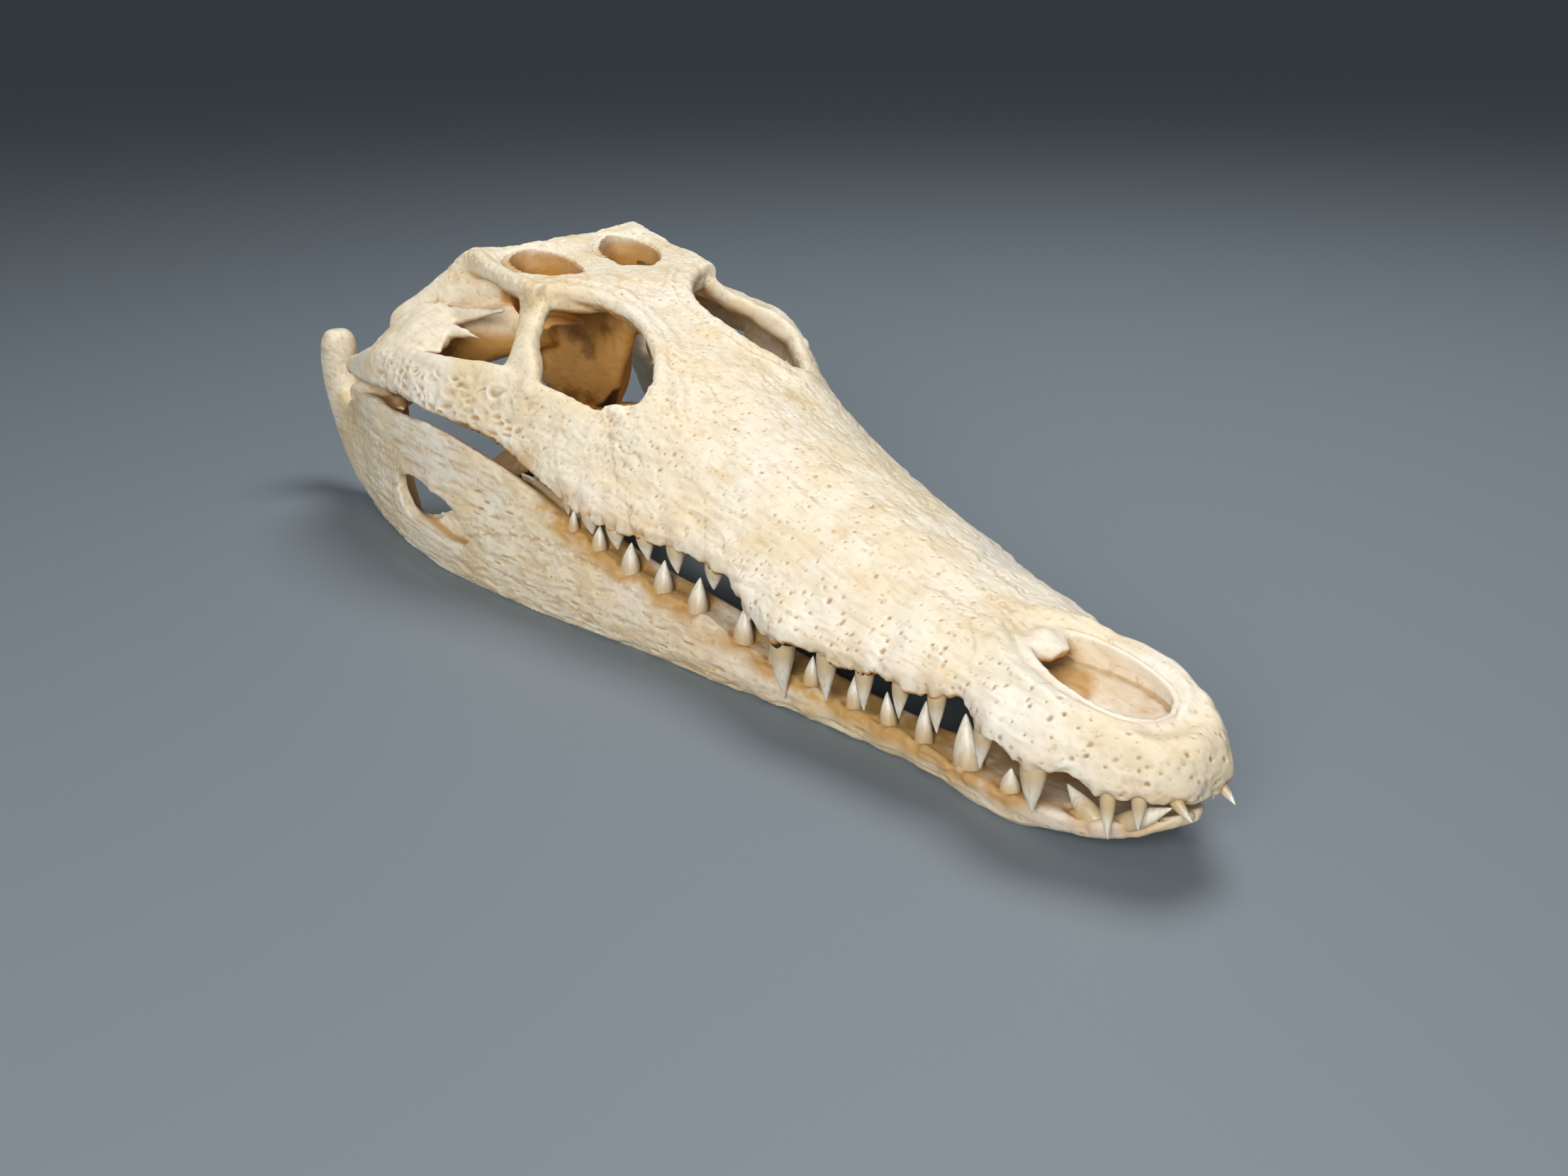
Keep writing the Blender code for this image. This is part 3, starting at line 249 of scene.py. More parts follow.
def nostril_pieces():
    """The raised lip round the nostril, and the spine of the nasals at its back."""
    lip = both(bar, "nostril_lip", [(10.8, -1, 26.2, 2, 1.5), (13, 5.6, 27.2, 2, 1.5),
        (18, 9.2, 28.2, 2.1, 1.5), (26, 10.5, 29.1, 2.3, 1.5), (34, 10, 30, 2.3, 1.5),
        (41, 8.2, 30.8, 2.5, 1.4), (48, 5.4, 31.6, 3, 1.4)])
    spine = bar("nasal_spine", [(50, 0, 30.8, 3.6, 2), (44, 0, 30.3, 2.6, 1.9), (40, 0, 29.3, 2.4, 1.8),
        (37, 0, 28.1, 2, 1.6), (35, 0, 27.2, 1, 1)])
    return lip + [spine]


def cavity_cutter():
    """The open space below the frontal that joins the two orbits, above the palate."""
    return oval_tube("orbit_cavity", [(152, 14, 42, 47), (157, 20, 40.5, 50), (163, 26.5, 39.5, 53.2),
        (175, 35.5, 39.5, 58), (190, 43.5, 38, 61.5)], ends=(152, 190), stations=12, around=28, power=0.6)


# The skull roof behind the snout: frontal, postorbitals, squamosals and parietal.

# The raised inner rim of the orbit, as rows of a bar.
ORBIT_RIM = [(158, 19.5, 53.4, 1.8, 1.8), (165, 16.6, 57.9, 1.9, 1.9), (172, 12.7, 61.4, 2, 2.1),
    (182, 9.2, 65.6, 2.1, 2.2), (194, 8.8, 69.3, 2.2, 2.4), (204, 11.9, 71.7, 2.6, 2.6),
    (211.5, 18, 73, 3.2, 2.8), (217, 24.6, 73.2, 3.2, 3)]


def frontal_pieces():
    """The sunken plate between the orbits and its raised rims."""
    plane = bar("frontal", [(146, 0, 50.6, 9, 3), (156, 0, 54.4, 12, 3), (166, 0, 58.2, 11.5, 2.8),
        (176, 0, 61.6, 10.2, 2.8), (188, 0, 65.6, 9.2, 2.6), (200, 0, 69.2, 11.5, 2.8),
        (211, 0, 72.2, 18, 3), (222, 0, 73.6, 24, 3)], power=0.6)
    rims = both(bar, "orbit_rim", ORBIT_RIM)
    return [plane] + rims


TABLE = [(207, 16, 72.5, 2.6), (212, 23.5, 74, 3.2), (218, 27.8, 75.6, 3.6), (234, 28.4, 77.6, 3.8),
    (248, 28.4, 79.4, 3.9), (257, 28.4, 80.8, 3.6), (260.5, 27, 80.8, 2.8)]
TABLE_HOLLOW = 7.0          # how far the rear edge of the table curves in at the midline
TABLE_HORN = 1.8            # how far its rear corners stand up
TABLE_LEAN = 0.05           # the left rear corner stands higher than the right one


def table_piece():
    """The flat skull table: rows of (s, half width, top, half thickness), its rear edge hollowed."""
    rings = []
    c, t = squared(np.linspace(0, 2 * math.pi, 90, endpoint=False), 0.7)
    c = np.sign(c) * np.abs(c) ** 0.5
    front, end = TABLE[0][0], TABLE[-1][0]
    for at in np.linspace(front, end, 60):
        half, top, thick = smooth(TABLE, at)[0]
        share = (at - front) / (end - front)
        back = TABLE_HOLLOW * share ** 3 * (1 - np.abs(c) ** 2.2)
        dish = (1 - c ** 2) * (1 - abs(2 * share - 1))
        horn = share ** 4 * (TABLE_HORN * np.abs(c) ** 6 - 1.2 * bell(np.abs(c), 0.14, 0.7))
        lean = TABLE_LEAN * share * half * c
        rings.append(np.column_stack([at - back, half * c, top - thick + thick * t - dish + horn + lean]))
    return solid("skull_table", rings)


def braincase_pieces():
    """The walls round the brain, the stem below them, the occiput and the ball that the neck turned on."""
    walls = oval_tube("braincase", [(212, 2.2, 60, 71), (217, 2.4, 52, 73), (223, 2.8, 42.5, 74),
        (228.5, 4.4, 36, 75), (237, 12, 31, 77), (247, 16, 35, 78), (257, 14, 46, 77)], ends=(212, 257),
        stations=14, around=60, power=0.75)
    ear_blocks = both(bar, "ear_block", [(248, 6, 67, 7, 8.5), (252, 16, 67.5, 7, 8.5), (257, 26, 68, 6, 8),
        (259.5, 31.5, 67, 4.4, 6), (262, 36, 65.5, 3, 4)])
    ribs = both(bar, "squamosal_rib", [(213, 25.5, 73.5, 3, 3), (226, 27, 74, 2.8, 3),
        (240, 27.5, 75.2, 2.8, 3.2), (250, 27.6, 76.2, 3, 3.8), (256.5, 27.6, 75.2, 3.2, 4.2),
        (259.4, 30.6, 71.8, 3.2, 4), (262.2, 34.2, 68.6, 3.2, 3.8), (266.8, 39, 63.6, 3.2, 3.6),
        (271.8, 44, 59.2, 3.2, 3.4), (273.2, 45.6, 56, 2.6, 2.8)])
    neck_ball = ball("condyle", (262.5, 0, 52.5), (5.2, 5.4, 4.6))
    neck_root = ball("condyle_root", (256, 0, 52), (7, 8, 8))
    base = bar("basioccipital", [(252.5, 0, 50, 8.5, 5), (254, 0, 43, 9.5, 4.4), (254.5, 0, 37.5, 8, 3.2)],
        up=(1, 0, 0))
    return [walls, neck_ball, neck_root, base] + ear_blocks + ribs


def cheek_pieces():
    """Jugal bar, postorbital bar, quadratojugal and quadrate of both sides."""
    jugal = both(plate, "jugal", [(152, 36, 32, 152, 22, 43, 2.4), (160, 40, 32, 159, 24, 49.5, 2.6),
        (170, 43.4, 33.2, 168, 29, 52, 2.8), (178, 45, 35, 177, 33, 53.4, 2.9),
        (188, 46.6, 38.2, 187.5, 37.8, 56, 2.9), (196, 49, 41.4, 196, 40.8, 58.4, 3),
        (204, 51.8, 43.4, 204, 43.8, 59.3, 3), (215, 55.6, 45, 215, 48.6, 59.2, 3),
        (226, 58, 46, 226, 52, 58.8, 3), (240, 59.2, 46, 240, 54.6, 58, 3),
        (254, 59.8, 45.2, 253, 56.2, 56.2, 3), (268, 59.8, 43.8, 266, 57.2, 53.2, 2.9),
        (281, 58.8, 43, 279, 57.2, 48.4, 2.7)], steps=34)
    pillar = both(plate, "postorbital_bar", [(223.5, 27, 73.2, 214.5, 23, 73.6, 3.2),
        (222.5, 27.4, 69.2, 211.5, 25, 70.5, 2.9), (216.5, 30.6, 65, 207.5, 29.4, 66.4, 2.6),
        (210.6, 34.4, 62.8, 200.8, 33.6, 63.4, 2.6), (205.4, 38.6, 59.6, 191, 37.6, 58.6, 2.8),
        (203.5, 43.4, 55.2, 187.5, 41.4, 53.6, 2.4)])
    wall = both(plate, "quadrate_plate", [(249, 35, 63.2, 231, 48.5, 57.6, 1.5),
        (254, 35.4, 63.8, 240, 55.2, 57.4, 2), (260, 36.2, 64.2, 251, 57.4, 55.2, 2.6),
        (267, 39, 61.8, 262, 58.2, 51.4, 2.8), (272.5, 42.6, 55, 271, 58, 47.8, 2.6),
        (277.5, 46, 49.8, 277, 57, 45.6, 2.8), (281, 47.6, 47.8, 281, 57, 45, 3.6)])
    shaft = both(bar, "quadrate_shaft", [(237, 12, 59.5, 6, 6, 0), (248, 25, 56.8, 7.6, 7.6, 10),
        (257, 34, 53.5, 8, 8.2, 18), (266, 41, 49.5, 7, 6.8, 20), (275, 47, 47.6, 6.2, 4.6, 8)])
    spine_up = both(plate, "spine_upper", [(252, 35.6, 64.6, 246, 37.6, 61, 1.6),
        (241, 33.6, 65.8, 238.5, 35.2, 63.6, 1.3), (230, 29.4, 67.4, 229, 30.2, 66.6, 0.7)])
    spine_low = both(plate, "spine_lower", [(246, 41, 61.6, 241.5, 43.4, 59.4, 1.5),
        (235, 39.6, 62, 233, 40.8, 60.6, 1.1), (226, 38.6, 61.4, 225.5, 39.2, 60.6, 0.6)])
    shelf = both(bar, "jugal_shelf", [(184, 40.5, 41.5, 3.4, 3.4), (200, 46, 43.4, 3.2, 3.2),
        (214, 50, 44.9, 3, 3), (230, 53.2, 46, 2.6, 2.8), (242, 55.4, 47.2, 2, 2.2)])
    knuckle = both(bar, "jaw_knuckle", [(279.5, 42.5, 46.8, 4.2, 3.6), (280.5, 46.5, 45.8, 4.8, 4.2),
        (280.5, 50.5, 46, 4.4, 3.8), (280, 55.5, 45.2, 4.4, 3.6)])
    return jugal + shelf + pillar + wall + shaft + spine_up + spine_low + knuckle


def palate_pieces():
    """Palatines, pterygoids with their wings, and the ectopterygoids that brace them to the cheeks."""
    tube = bar("palatines", [(112, 0, 33.5, 16, 3), (128, 0, 34.6, 14.5, 3.4), (150, 0, 36.2, 12.8, 4),
        (172, 0, 37, 12.6, 4.2), (192, 0, 37, 13.6, 3.8), (208, 0, 34.6, 17, 3), (226, 0, 31.4, 19, 2.8),
        (243, 0, 29.4, 14, 2.8)], power=0.75)
    wings = both(bar, "pterygoid_wing", [(221, 6, 32, 17, 2.8), (223, 18, 30.4, 16, 2.3),
        (226, 28, 26.6, 13.5, 2.1), (228, 35.6, 22.2, 10.5, 2.1), (228, 39.6, 19.6, 6.5, 2.1)], power=0.8)
    brace = both(bar, "ectopterygoid", [(164, 36, 38, 4.2, 3.6, 40), (176, 38, 39, 4.4, 3.2, 45),
        (188, 37.8, 37, 4.2, 3, 40), (200, 36.2, 32.4, 4.2, 2.8, 30), (213, 35.6, 26.8, 4.4, 2.6, 20),
        (226, 36.6, 23, 3.6, 2.4, 10)])
    return [tube] + wings + brace


# The lower jaw: one ramus, drawn on the left side. Rows are (s, y, z) along its edges.

JAW_EDGE = [(2.6, 1.6, 13), (5, 5, 11.8), (9, 8.4, 10), (15, 12, 8.8), (23.5, 15, 7.8), (31, 16.6, 7),
    (40, 17.5, 6.6), (50, 18.2, 6.9), (59, 18.7, 7.1), (68, 20, 7.2), (78, 21.8, 7.4), (90, 24.4, 8.6),
    (101, 26.8, 10.2), (112, 29.4, 12.4), (121, 31.8, 15), (132, 35, 17.2), (143, 38.2, 19.4),
    (154, 41.4, 22.3), (166, 44.8, 26.4), (176, 47.4, 30.2), (191, 51.2, 35.6), (204, 54, 38),
    (225, 57.2, 39.8), (243, 59, 39), (262, 59.6, 38.4), (272, 59, 37.2), (281, 58.5, 36), (296, 56.6, 31)]
JAW_FLANK = [(2.6, 1.8, 12), (5, 5.1, 10.4), (9, 8.5, 8.4), (15, 12.1, 6.8), (22, 15, 5.4), (30, 16.5, 4.4),
    (38, 17.2, 4), (46, 18, 4.2), (58, 18.8, 4.4), (68, 20.6, 4.6), (78, 22.8, 4.8), (90, 25.8, 5.6),
    (103, 29.6, 6.6), (115, 33.2, 7.6), (129, 37, 9), (141, 40.4, 10.4), (153, 43.9, 12), (165, 47.6, 13.6),
    (180, 51.6, 16), (192, 54.6, 18), (210, 58.4, 19), (225, 60.2, 19.5), (245, 60.8, 19), (262, 60.4, 18),
    (280, 59.2, 17), (296, 58, 17)]
JAW_KEEL = [(2.6, 1, 10.2), (5, 3.4, 8.6), (9, 5.8, 6.3), (15, 8.6, 4.2), (22, 11.2, 2.5), (30, 12.6, 0.6),
    (38, 13.2, -0.8), (47, 14.2, -0.8), (58, 15.2, -0.5), (68, 16.8, -0.5), (78, 18.6, -0.5),
    (90, 21.8, -0.5), (103, 25.8, -0.5), (115, 29.4, -0.5), (129, 33.2, -0.5), (141, 36.8, -0.5),
    (153, 40.4, -0.5), (165, 44.2, -0.5), (180, 48.4, -0.5), (192, 51.4, -0.5), (210, 55.4, -0.6),
    (225, 57.4, -0.6), (245, 58.2, -0.5), (262, 57.8, 0.1), (275, 57.2, 1.2), (285, 56.6, 2.4),
    (296, 56, 4.6)]
JAW_THICK = [(2.6, 4), (9, 6), (44, 9.5), (60, 8.8), (90, 9.2), (130, 9.8), (170, 9.6), (200, 8.2),
    (250, 8.4), (268, 11), (296, 9)]
# How far the jaw's upper face falls inwards, as (s, fall).
JAW_SLOPE = [(0, 0), (170, 0), (190, 3), (210, 4.5), (250, 4.5), (264, 0.5), (280, 0.5), (290, 4), (300, 4)]
SYMPHYSIS_END = 45.0        # the two halves meet at the midline as far back as this
OVERLAP = 1.6               # how far a half reaches over the midline before it is cut there


def ramus_rings(stations=150, around=56):
    """Sections of the jaw's half, from its tip to its end; the front ones reach over the midline."""
    s = 2.6 + (296 - 2.6) * np.linspace(0, 1, stations) ** 1.15
    edge, flank, keel = (smooth(line, s) for line in (JAW_EDGE, JAW_FLANK, JAW_KEEL))
    thick = smooth(JAW_THICK, s)[:, 0]
    rings = []
    for i, at in enumerate(s):
        joined = np.clip((SYMPHYSIS_END + 16 - at) / 16, 0, 1)
        joined = joined * joined * (3 - 2 * joined)
        inner_top = (edge[i][0] - thick[i]) * (1 - joined) - OVERLAP * joined
        inner_low = (keel[i][0] - thick[i] * 0.72) * (1 - joined) - OVERLAP * joined
        top, low = edge[i][1], keel[i][1]
        dip = (1.2 * joined + 0.6) * min(1, max(0.15, (top - low - 1.8) / 4)) + smooth(JAW_SLOPE, at)[0, 0]
        under = ((flank[i][0] * 0.7 + keel[i][0] * 0.3), low + 0.3 * (flank[i][1] - low))
        ring = [(inner_low, low), ((inner_low + keel[i][0]) / 2, low), tuple(keel[i]), under,
            tuple(flank[i]), tuple(edge[i]), (0.5 * (inner_top + edge[i][0]), top - dip * 0.4),
            (inner_top, top - dip), ((inner_top + inner_low) / 2 - 0.8 * (1 - joined), (top + low) / 2)]
        flat = round_curve(ring, around, closed=True)
        rings.append(np.column_stack([np.full(around, at), flat]))
    return rings


def ramus_pieces(side):
    """The body of the jaw's half, its hooked rear end and the socket of the joint."""
    body = solid("ramus", ramus_rings(), side)
    hook = plate("retroarticular", [(272, 54, 1.5, 264, 53.5, 32, 5.5), (284, 54, 1.6, 276, 53.5, 34, 5.5),
        (296, 54.2, 4.6, 287, 53.6, 33, 5.2), (306, 54.2, 11.5, 297, 53.2, 31, 4.9),
        (314.5, 54, 21.5, 303.5, 52.8, 32, 4.8), (319.4, 54, 31.5, 306, 52.6, 37, 5),
        (319.6, 53.8, 40, 307, 52.4, 43, 5.2), (317.8, 53.4, 46.4, 308, 52.4, 47.8, 4.8),
        (316, 53.3, 49.4, 310, 52.5, 50, 3)], side, power=0.8)
    socket = bar("jaw_socket", [(281, 43, 36.3, 7.8, 4.8), (281, 47, 36, 9, 5.5), (281, 53, 35.5, 9, 5.5),
        (280, 56.5, 35, 8, 4.8)], side)
    return [body, hook, socket]


JAW_WINDOW = [(243.8, 21.4), (236.8, 23.6), (229.5, 24.2), (221, 23.4), (215, 22.2), (208.7, 20),
    (204, 16.8), (202.4, 14.6), (204.6, 12), (210.5, 11.2), (218.6, 10.7), (228.5, 10.6), (237.7, 11.2),
    (242.5, 14), (244.6, 17.8)]


def ramus_cutters(side):
    """The window in the flank, the open trough behind it and the room for the jaw joint."""
    flat = round_curve(JAW_WINDOW, 110, closed=True)
    window = solid("jaw_window", [np.column_stack([flat[:, 0], np.full(110, y), flat[:, 1]])
        for y in (53.5, 72)], side)
    trough = bar("jaw_trough", [(186, 45, 33, 3.4, 2, 90), (198, 47.4, 27, 11, 2.6, 90),
        (218, 52.2, 28.5, 14.5, 3.2, 90), (230, 53.2, 27.5, 15.5, 3.2, 90), (243, 54, 25.5, 17.5, 3.2, 90),
        (256, 54, 25, 16, 3, 90), (266, 53.6, 30, 7, 2, 90)], side, power=0.7)
    inner = bar("jaw_inner_gap", [(194, 42, 31, 5, 5, 90), (210, 45.5, 29, 12, 6, 90),
        (230, 48, 27, 14, 6, 90), (252, 48.4, 23, 17, 6, 90), (266, 47.4, 26, 11, 5, 90)], side, power=0.7)
    joint = bar("joint_room", [(276.5, 32, 47.6, 10, 5.6), (277.5, 46.5, 46.6, 9.4, 6),
        (279, 51.5, 46.2, 6.6, 5), (280, 64, 45, 5.2, 4.4)], side, power=0.85)
    return [window, trough, inner, joint]


def trimmed(ramus, side):
    """Cuts the jaw's half flat where it rests and where it meets the other half."""
    ground = block("ground", [(-20, -20), (340, -20), (340, 90), (-20, 90)], -20, 0, side)
    middle = block("midline", [(-20, -20), (340, -20), (340, SUTURE / 2), (-20, SUTURE / 2)], -30, 60, side)
    boolean(ramus, [ground, middle], "DIFFERENCE")


# Teeth: (s, crown length, width, outward lean in degrees, forward lean in degrees).

UPPER_TEETH = [(2.8, 4.6, 2.4, 4, 60), (7.4, 6.6, 3, 8, 6), (11.7, 9.2, 3.1, 6, 4),
    (24.5, 10.8, 5.6, 4, -4), (37, 10, 4.2, 4, -10), (51.2, 9.8, 4, 2, -4), (59.2, 8.6, 4.2, 2, -8),
    (68.8, 10.2, 4.2, 2, -8), (79, 13, 5.2, 2, -8), (91.9, 16.4, 6.2, 2, -10), (104.8, 5.4, 3.6, 2, -6),
    (119.5, 6.6, 5.5, 2, -10), (132, 6.8, 5.5, 2, -2), (141.5, 7, 5.4, 2, -2), (150.5, 6, 5.2, 2, 0),
    (159, 5, 4.6, 2, 0), (167, 4, 3, 2, -6)]
LOWER_TEETH = [(10.5, 8.6, 3.8, -10, 52), (17.5, 7.4, 4.6, 6, -62), (35, 5.2, 4.6, 10, 6),
    (47, 10.4, 6.2, 6, -6), (59.2, 9, 4.2, 4, 0), (69, 7, 4, 4, -10), (78.7, 7.2, 4, 2, 0),
    (91, 6, 3.8, 0, 0), (101.5, 6.4, 4.8, -2, 0), (112, 7.6, 5.3, -2, 0), (126, 7.4, 5.3, -2, -2),
    (136.5, 7, 5.3, -2, 0), (147, 6.4, 5, -2, 0), (157, 5.6, 4.5, -2, 0), (165, 5.2, 3.2, -2, 0)]


def tooth_base(row, edge, inset, raise_by, draw):
    """Where one tooth stands and how it leans, with the same small differences as in the solids."""
    s, long, wide, out, forward = row
    y, z = smooth(edge, [s])[0]
    base = (s + draw.uniform(-0.3, 0.3), max(y - inset - 0.35 * wide, 1.6), z + raise_by)
    long *= draw.uniform(0.95, 1.04)
    wide *= draw.uniform(0.95, 1.05)
    return base, long, wide, out + draw.uniform(-2, 2), forward + draw.uniform(-2, 2)


def tooth_places(rows, edge, inset, raise_by, seed):
    """The teeth of the right and left side, which differ a little."""
    draw = random.Random(seed)
    return {side: [tooth_base(row, edge, inset, raise_by, draw) for row in rows] for side in (-1, 1)}


def tooth_axis(out, forward, down):
    """The way a crown points; down is -1 for the upper teeth and 1 for the lower ones."""
    lean, pitch = math.radians(out), math.radians(forward)
    axis = np.array([-math.sin(pitch), math.sin(lean), down * math.cos(lean) * math.cos(pitch)])
    return axis / np.linalg.norm(axis)


# Shares of a crown's length or radius.
SUNK = 0.35                 # set in the bone
CURVE_IN = 0.10             # how far the tip leans inwards
KEEL = 0.05
RIB = 0.018
FLATNESS = 0.86
# Radius along the crown, as (place, share of the largest).
PROFILE = [(-SUNK, 0.94), (0, 1), (0.12, 0.99), (0.3, 0.88), (0.5, 0.69), (0.7, 0.44), (0.85, 0.25),
    (0.94, 0.13), (1, 0.03)]


def tooth(place, down, side, blunt, ribs, around=36, steps=34):
    """A crown that curves inwards, with a keel fore and aft and fine ribs down to its tip."""
    base, long, wide, out, forward = place
    axis = tooth_axis(out, forward, down)
    u = np.cross(axis, (0, 1, 0))
    u /= np.linalg.norm(u)
    v = np.cross(axis, u)
    angle = np.linspace(0, 2 * math.pi, around, endpoint=False)
    rings = []
    for t in np.linspace(-SUNK, 1, steps):
        rise = max(t, 0)
        dome = math.sqrt(max(1e-4, 1 - rise ** 3)) * (1 if t < 0.999 else 0.1)
        share = smooth(PROFILE, t)[0, 0] * (1 - blunt) + blunt * dome
        centre = np.array(base) + axis * (long * t) + np.array([0, -CURVE_IN * long * rise ** 2, 0])
        keel = KEEL * np.abs(np.cos(angle)) ** 14 * min(1, 3 * rise)
        rib = RIB * np.cos(ribs * angle + 0.7 * np.sin(3 * angle)) * min(1, 2 * rise) * (1 - rise)
        radius = 0.5 * wide * share * (1 + keel + rib)
        rings.append(centre + np.outer(np.cos(angle) * radius, u) + np.outer(FLATNESS * np.sin(angle)
            * radius, v))
    return solid("tooth", rings, side)


# Numbers that look random and are the same each run.

def hashed(x, y, z, seed):
    """A repeatable value from 0 to 1 for whole-number lattice points."""
    n = (x * 73856093) ^ (y * 19349663) ^ (z * 83492791) ^ (seed * 971533)
    n = (n ^ (n >> 13)) * 1274126177
    n = (n ^ (n >> 16)) * 668265263
    return ((n ^ (n >> 15)) & 0xffffff) / float(0xffffff)


def noise(p, size, seed):
    """Smooth value noise from -1 to 1; size is the width of its bumps, one number or one per axis."""
    q = p / np.asarray(size, float)
    cell = np.floor(q).astype(np.int64)
    f = q - cell
    f = f * f * (3 - 2 * f)
    total = np.zeros(len(p))
    for corner in np.ndindex(2, 2, 2):
        share = 1.0
        for axis, high in enumerate(corner):
            share = share * (f[:, axis] if high else 1 - f[:, axis])
        total += share * hashed(*(cell + corner).T, seed)
    return 2 * total - 1


def bumps(p, layers):
    """Noise of several sizes; layers are (height, width, seed)."""
    return sum(high * noise(p, wide, seed) for high, wide, seed in layers)


def wander(p, size, seed, axes=3):
    """Noise of its own along each axis, to bend a pattern with."""
    return np.column_stack([noise(p, size, seed + i) for i in range(axes)])


def folds(p, coarse, fine, seed, level=0.7, share=0.7):
    """Wavy ridges of two sizes, given along each axis; level is the height of their crests."""
    return level - np.abs(noise(p, coarse, seed)) - share * np.abs(noise(p, fine, seed + 1))


def cells(q, seed, jitter=0.9):
    """Distances on a plane to the nearest and second nearest scattered point, and that point's number."""
    home = np.floor(q).astype(np.int64)
    first, second, mark = np.full(len(q), 9.0), np.full(len(q), 9.0), np.zeros(len(q))
    for step in np.ndindex(3, 3):
        x, y = (home + step - 1).T
        one = x + 0.5 + jitter * (hashed(x, y, 0, seed) - 0.5)
        two = y + 0.5 + jitter * (hashed(x, y, 1, seed) - 0.5)
        far = np.hypot(q[:, 0] - one, q[:, 1] - two)
        nearer = far < first
        second = np.where(nearer, first, np.minimum(second, far))
        mark = np.where(nearer, hashed(x, y, 2, seed), mark)
        first = np.where(nearer, far, first)
    return first, second, mark


def ramp(x, low, high):
    """0 below low, 1 above high, smooth between."""
    t = np.clip((np.asarray(x, float) - low) / (high - low), 0, 1)
    return t * t * (3 - 2 * t)


def between(x, rise, full, fade, gone):
    """1 from full to fade, 0 before rise and after gone."""
    return ramp(x, rise, full) * (1 - ramp(x, fade, gone))


def bell(x, width, middle=0):
    """1 at the middle, and nearly 0 two widths away from it."""
    return np.exp(-((x - middle) / width) ** 2)


def oval(s, y, middle, long, wide):
    """1 on an ellipse round a point of the midline, 0 at that point."""
    return np.hypot((s - middle) / long, y / wide)


def by_side(p, n, draw):
    """Adds up a pattern drawn flat on each side of the bone: seen upright, from the flank and in front."""
    total = np.zeros(len(p))
    for axis, plane in ((2, (0, 1)), (1, (0, 2)), (0, (1, 2))):
        facing = ramp(np.abs(n[:, axis]), 0.52, 0.72)
        near = np.where(facing > 0)[0]
        if len(near):
            total[near] = np.maximum(total[near], facing[near] * draw(p[near][:, plane], axis))
    return total


def openings(p, n, size, share, wide, seed):
    """Scattered small openings, 1 at their middle; size is their spacing and wide their radius."""
    def draw(q, axis):
        first, _, mark = cells(q / size, seed + axis)
        radius = wide * (0.6 + 0.8 * (mark * 7.3 % 1))
        hole = np.where(mark < share, 1 - ramp(first * size, radius * 0.45, radius * 1.3), 0)
        return hole * (0.55 + 0.45 * (mark * 13.7 % 1))
    return by_side(p, n, draw)


def lifted(q, z=0.0):
    """Points of a plane as points in space."""
    return np.column_stack([q, np.full(len(q), float(z))])


def pitted(p, n, size, seed):
    """A net of ridges round hollows, from -1 in the hollows to 0.3 on the ridges."""
    def draw(q, axis):
        bent = q + 1.5 * np.column_stack([noise(lifted(q, z), 3.8, seed + i) for i, z in ((5, 0), (6, 9))])
        first, second, mark = cells(bent / np.asarray(size), seed + axis)
        wall = 1 - ramp(second - first, 0.05, 0.45)
        return 1.3 * (1 - wall) * (0.2 + 0.8 * mark) * (1 - ramp(first, 0.1, 0.75)) + 1e-6
    return 0.3 - by_side(p, n, draw)


def near_line(flat, where, line, wiggle, seed):
    """Distance on a plane to a zigzag line for the points that `where` marks; the rest are far away."""
    fine = round_curve(line, 12 * len(line))
    q = flat[where]
    q = q + wiggle * wander(lifted(q), 1.1, seed, axes=2)
    best = np.full(len(q), FAR_AWAY)
    for one, two in zip(fine[:-1], fine[1:]):
        d = two - one
        t = np.clip((q - one) @ d / (d @ d + 1e-9), 0, 1)
        best = np.minimum(best, np.linalg.norm(q - one - t[:, None] * d, axis=1))
    far = np.full(len(flat), FAR_AWAY)
    far[where] = best
    return far


def suture_marks(flat, facing, lines, wiggle, width, seed):
    """Thin zigzag lines where bones meet, 1 along their middle."""
    marks = np.zeros(len(flat))
    for i, line in enumerate(lines):
        s, first, last = flat[:, 0], np.min(line, 0)[0], np.max(line, 0)[0]
        where = facing & (s > first - 4) & (s < last + 4)
        marks = np.maximum(marks, bell(near_line(flat, where, line, wiggle, seed + i), width))
    return marks


# Lumps: (height, width, seed).
SKULL_BUMPS = ((0.42, 15, 3), (0.30, 6, 4), (0.19, 2.6, 5), (0.07, 1.3, 8))
JAW_BUMPS = ((0.30, 13, 103), (0.16, 5, 104), (0.08, 2.2, 105), (0.04, 1.2, 108))
TIP_LUMPS = ((0.55, 8, 71), (0.35, 4, 72))
RAGGED = ((1.0, 2.4, 51), (0.5, 1.2, 52))

# Sutures seen from above, as (s, y) on one side, and on the jaw's flank, as (s, z).
TOP_SUTURES = [[(46, 0), (70, 0), (100, 0), (146, 0)], [(45, 17.5), (49, 13), (55, 9.5), (64, 7.5)],
    [(50, 5.5), (64, 7.5), (90, 9.5), (118, 11), (138, 12), (150, 15), (158, 19)], [(136, 11.8), (132, 19),
    (140, 27), (152, 31), (163, 33)], [(150, 9), (160, 8), (172, 9)], [(163, 33), (152, 36), (140, 38)],
    [(215, 0), (216, 8), (213, 14), (211, 19)], [(236, 21), (238, 25), (236, 30)]]
JAW_SUTURES = [[(202, 15.5), (185, 20), (168, 21.5), (152, 19), (138, 15)], [(206, 12), (190, 8.5),
    (172, 7.5), (155, 6)], [(240, 23.5), (258, 26), (276, 27), (292, 26)]]


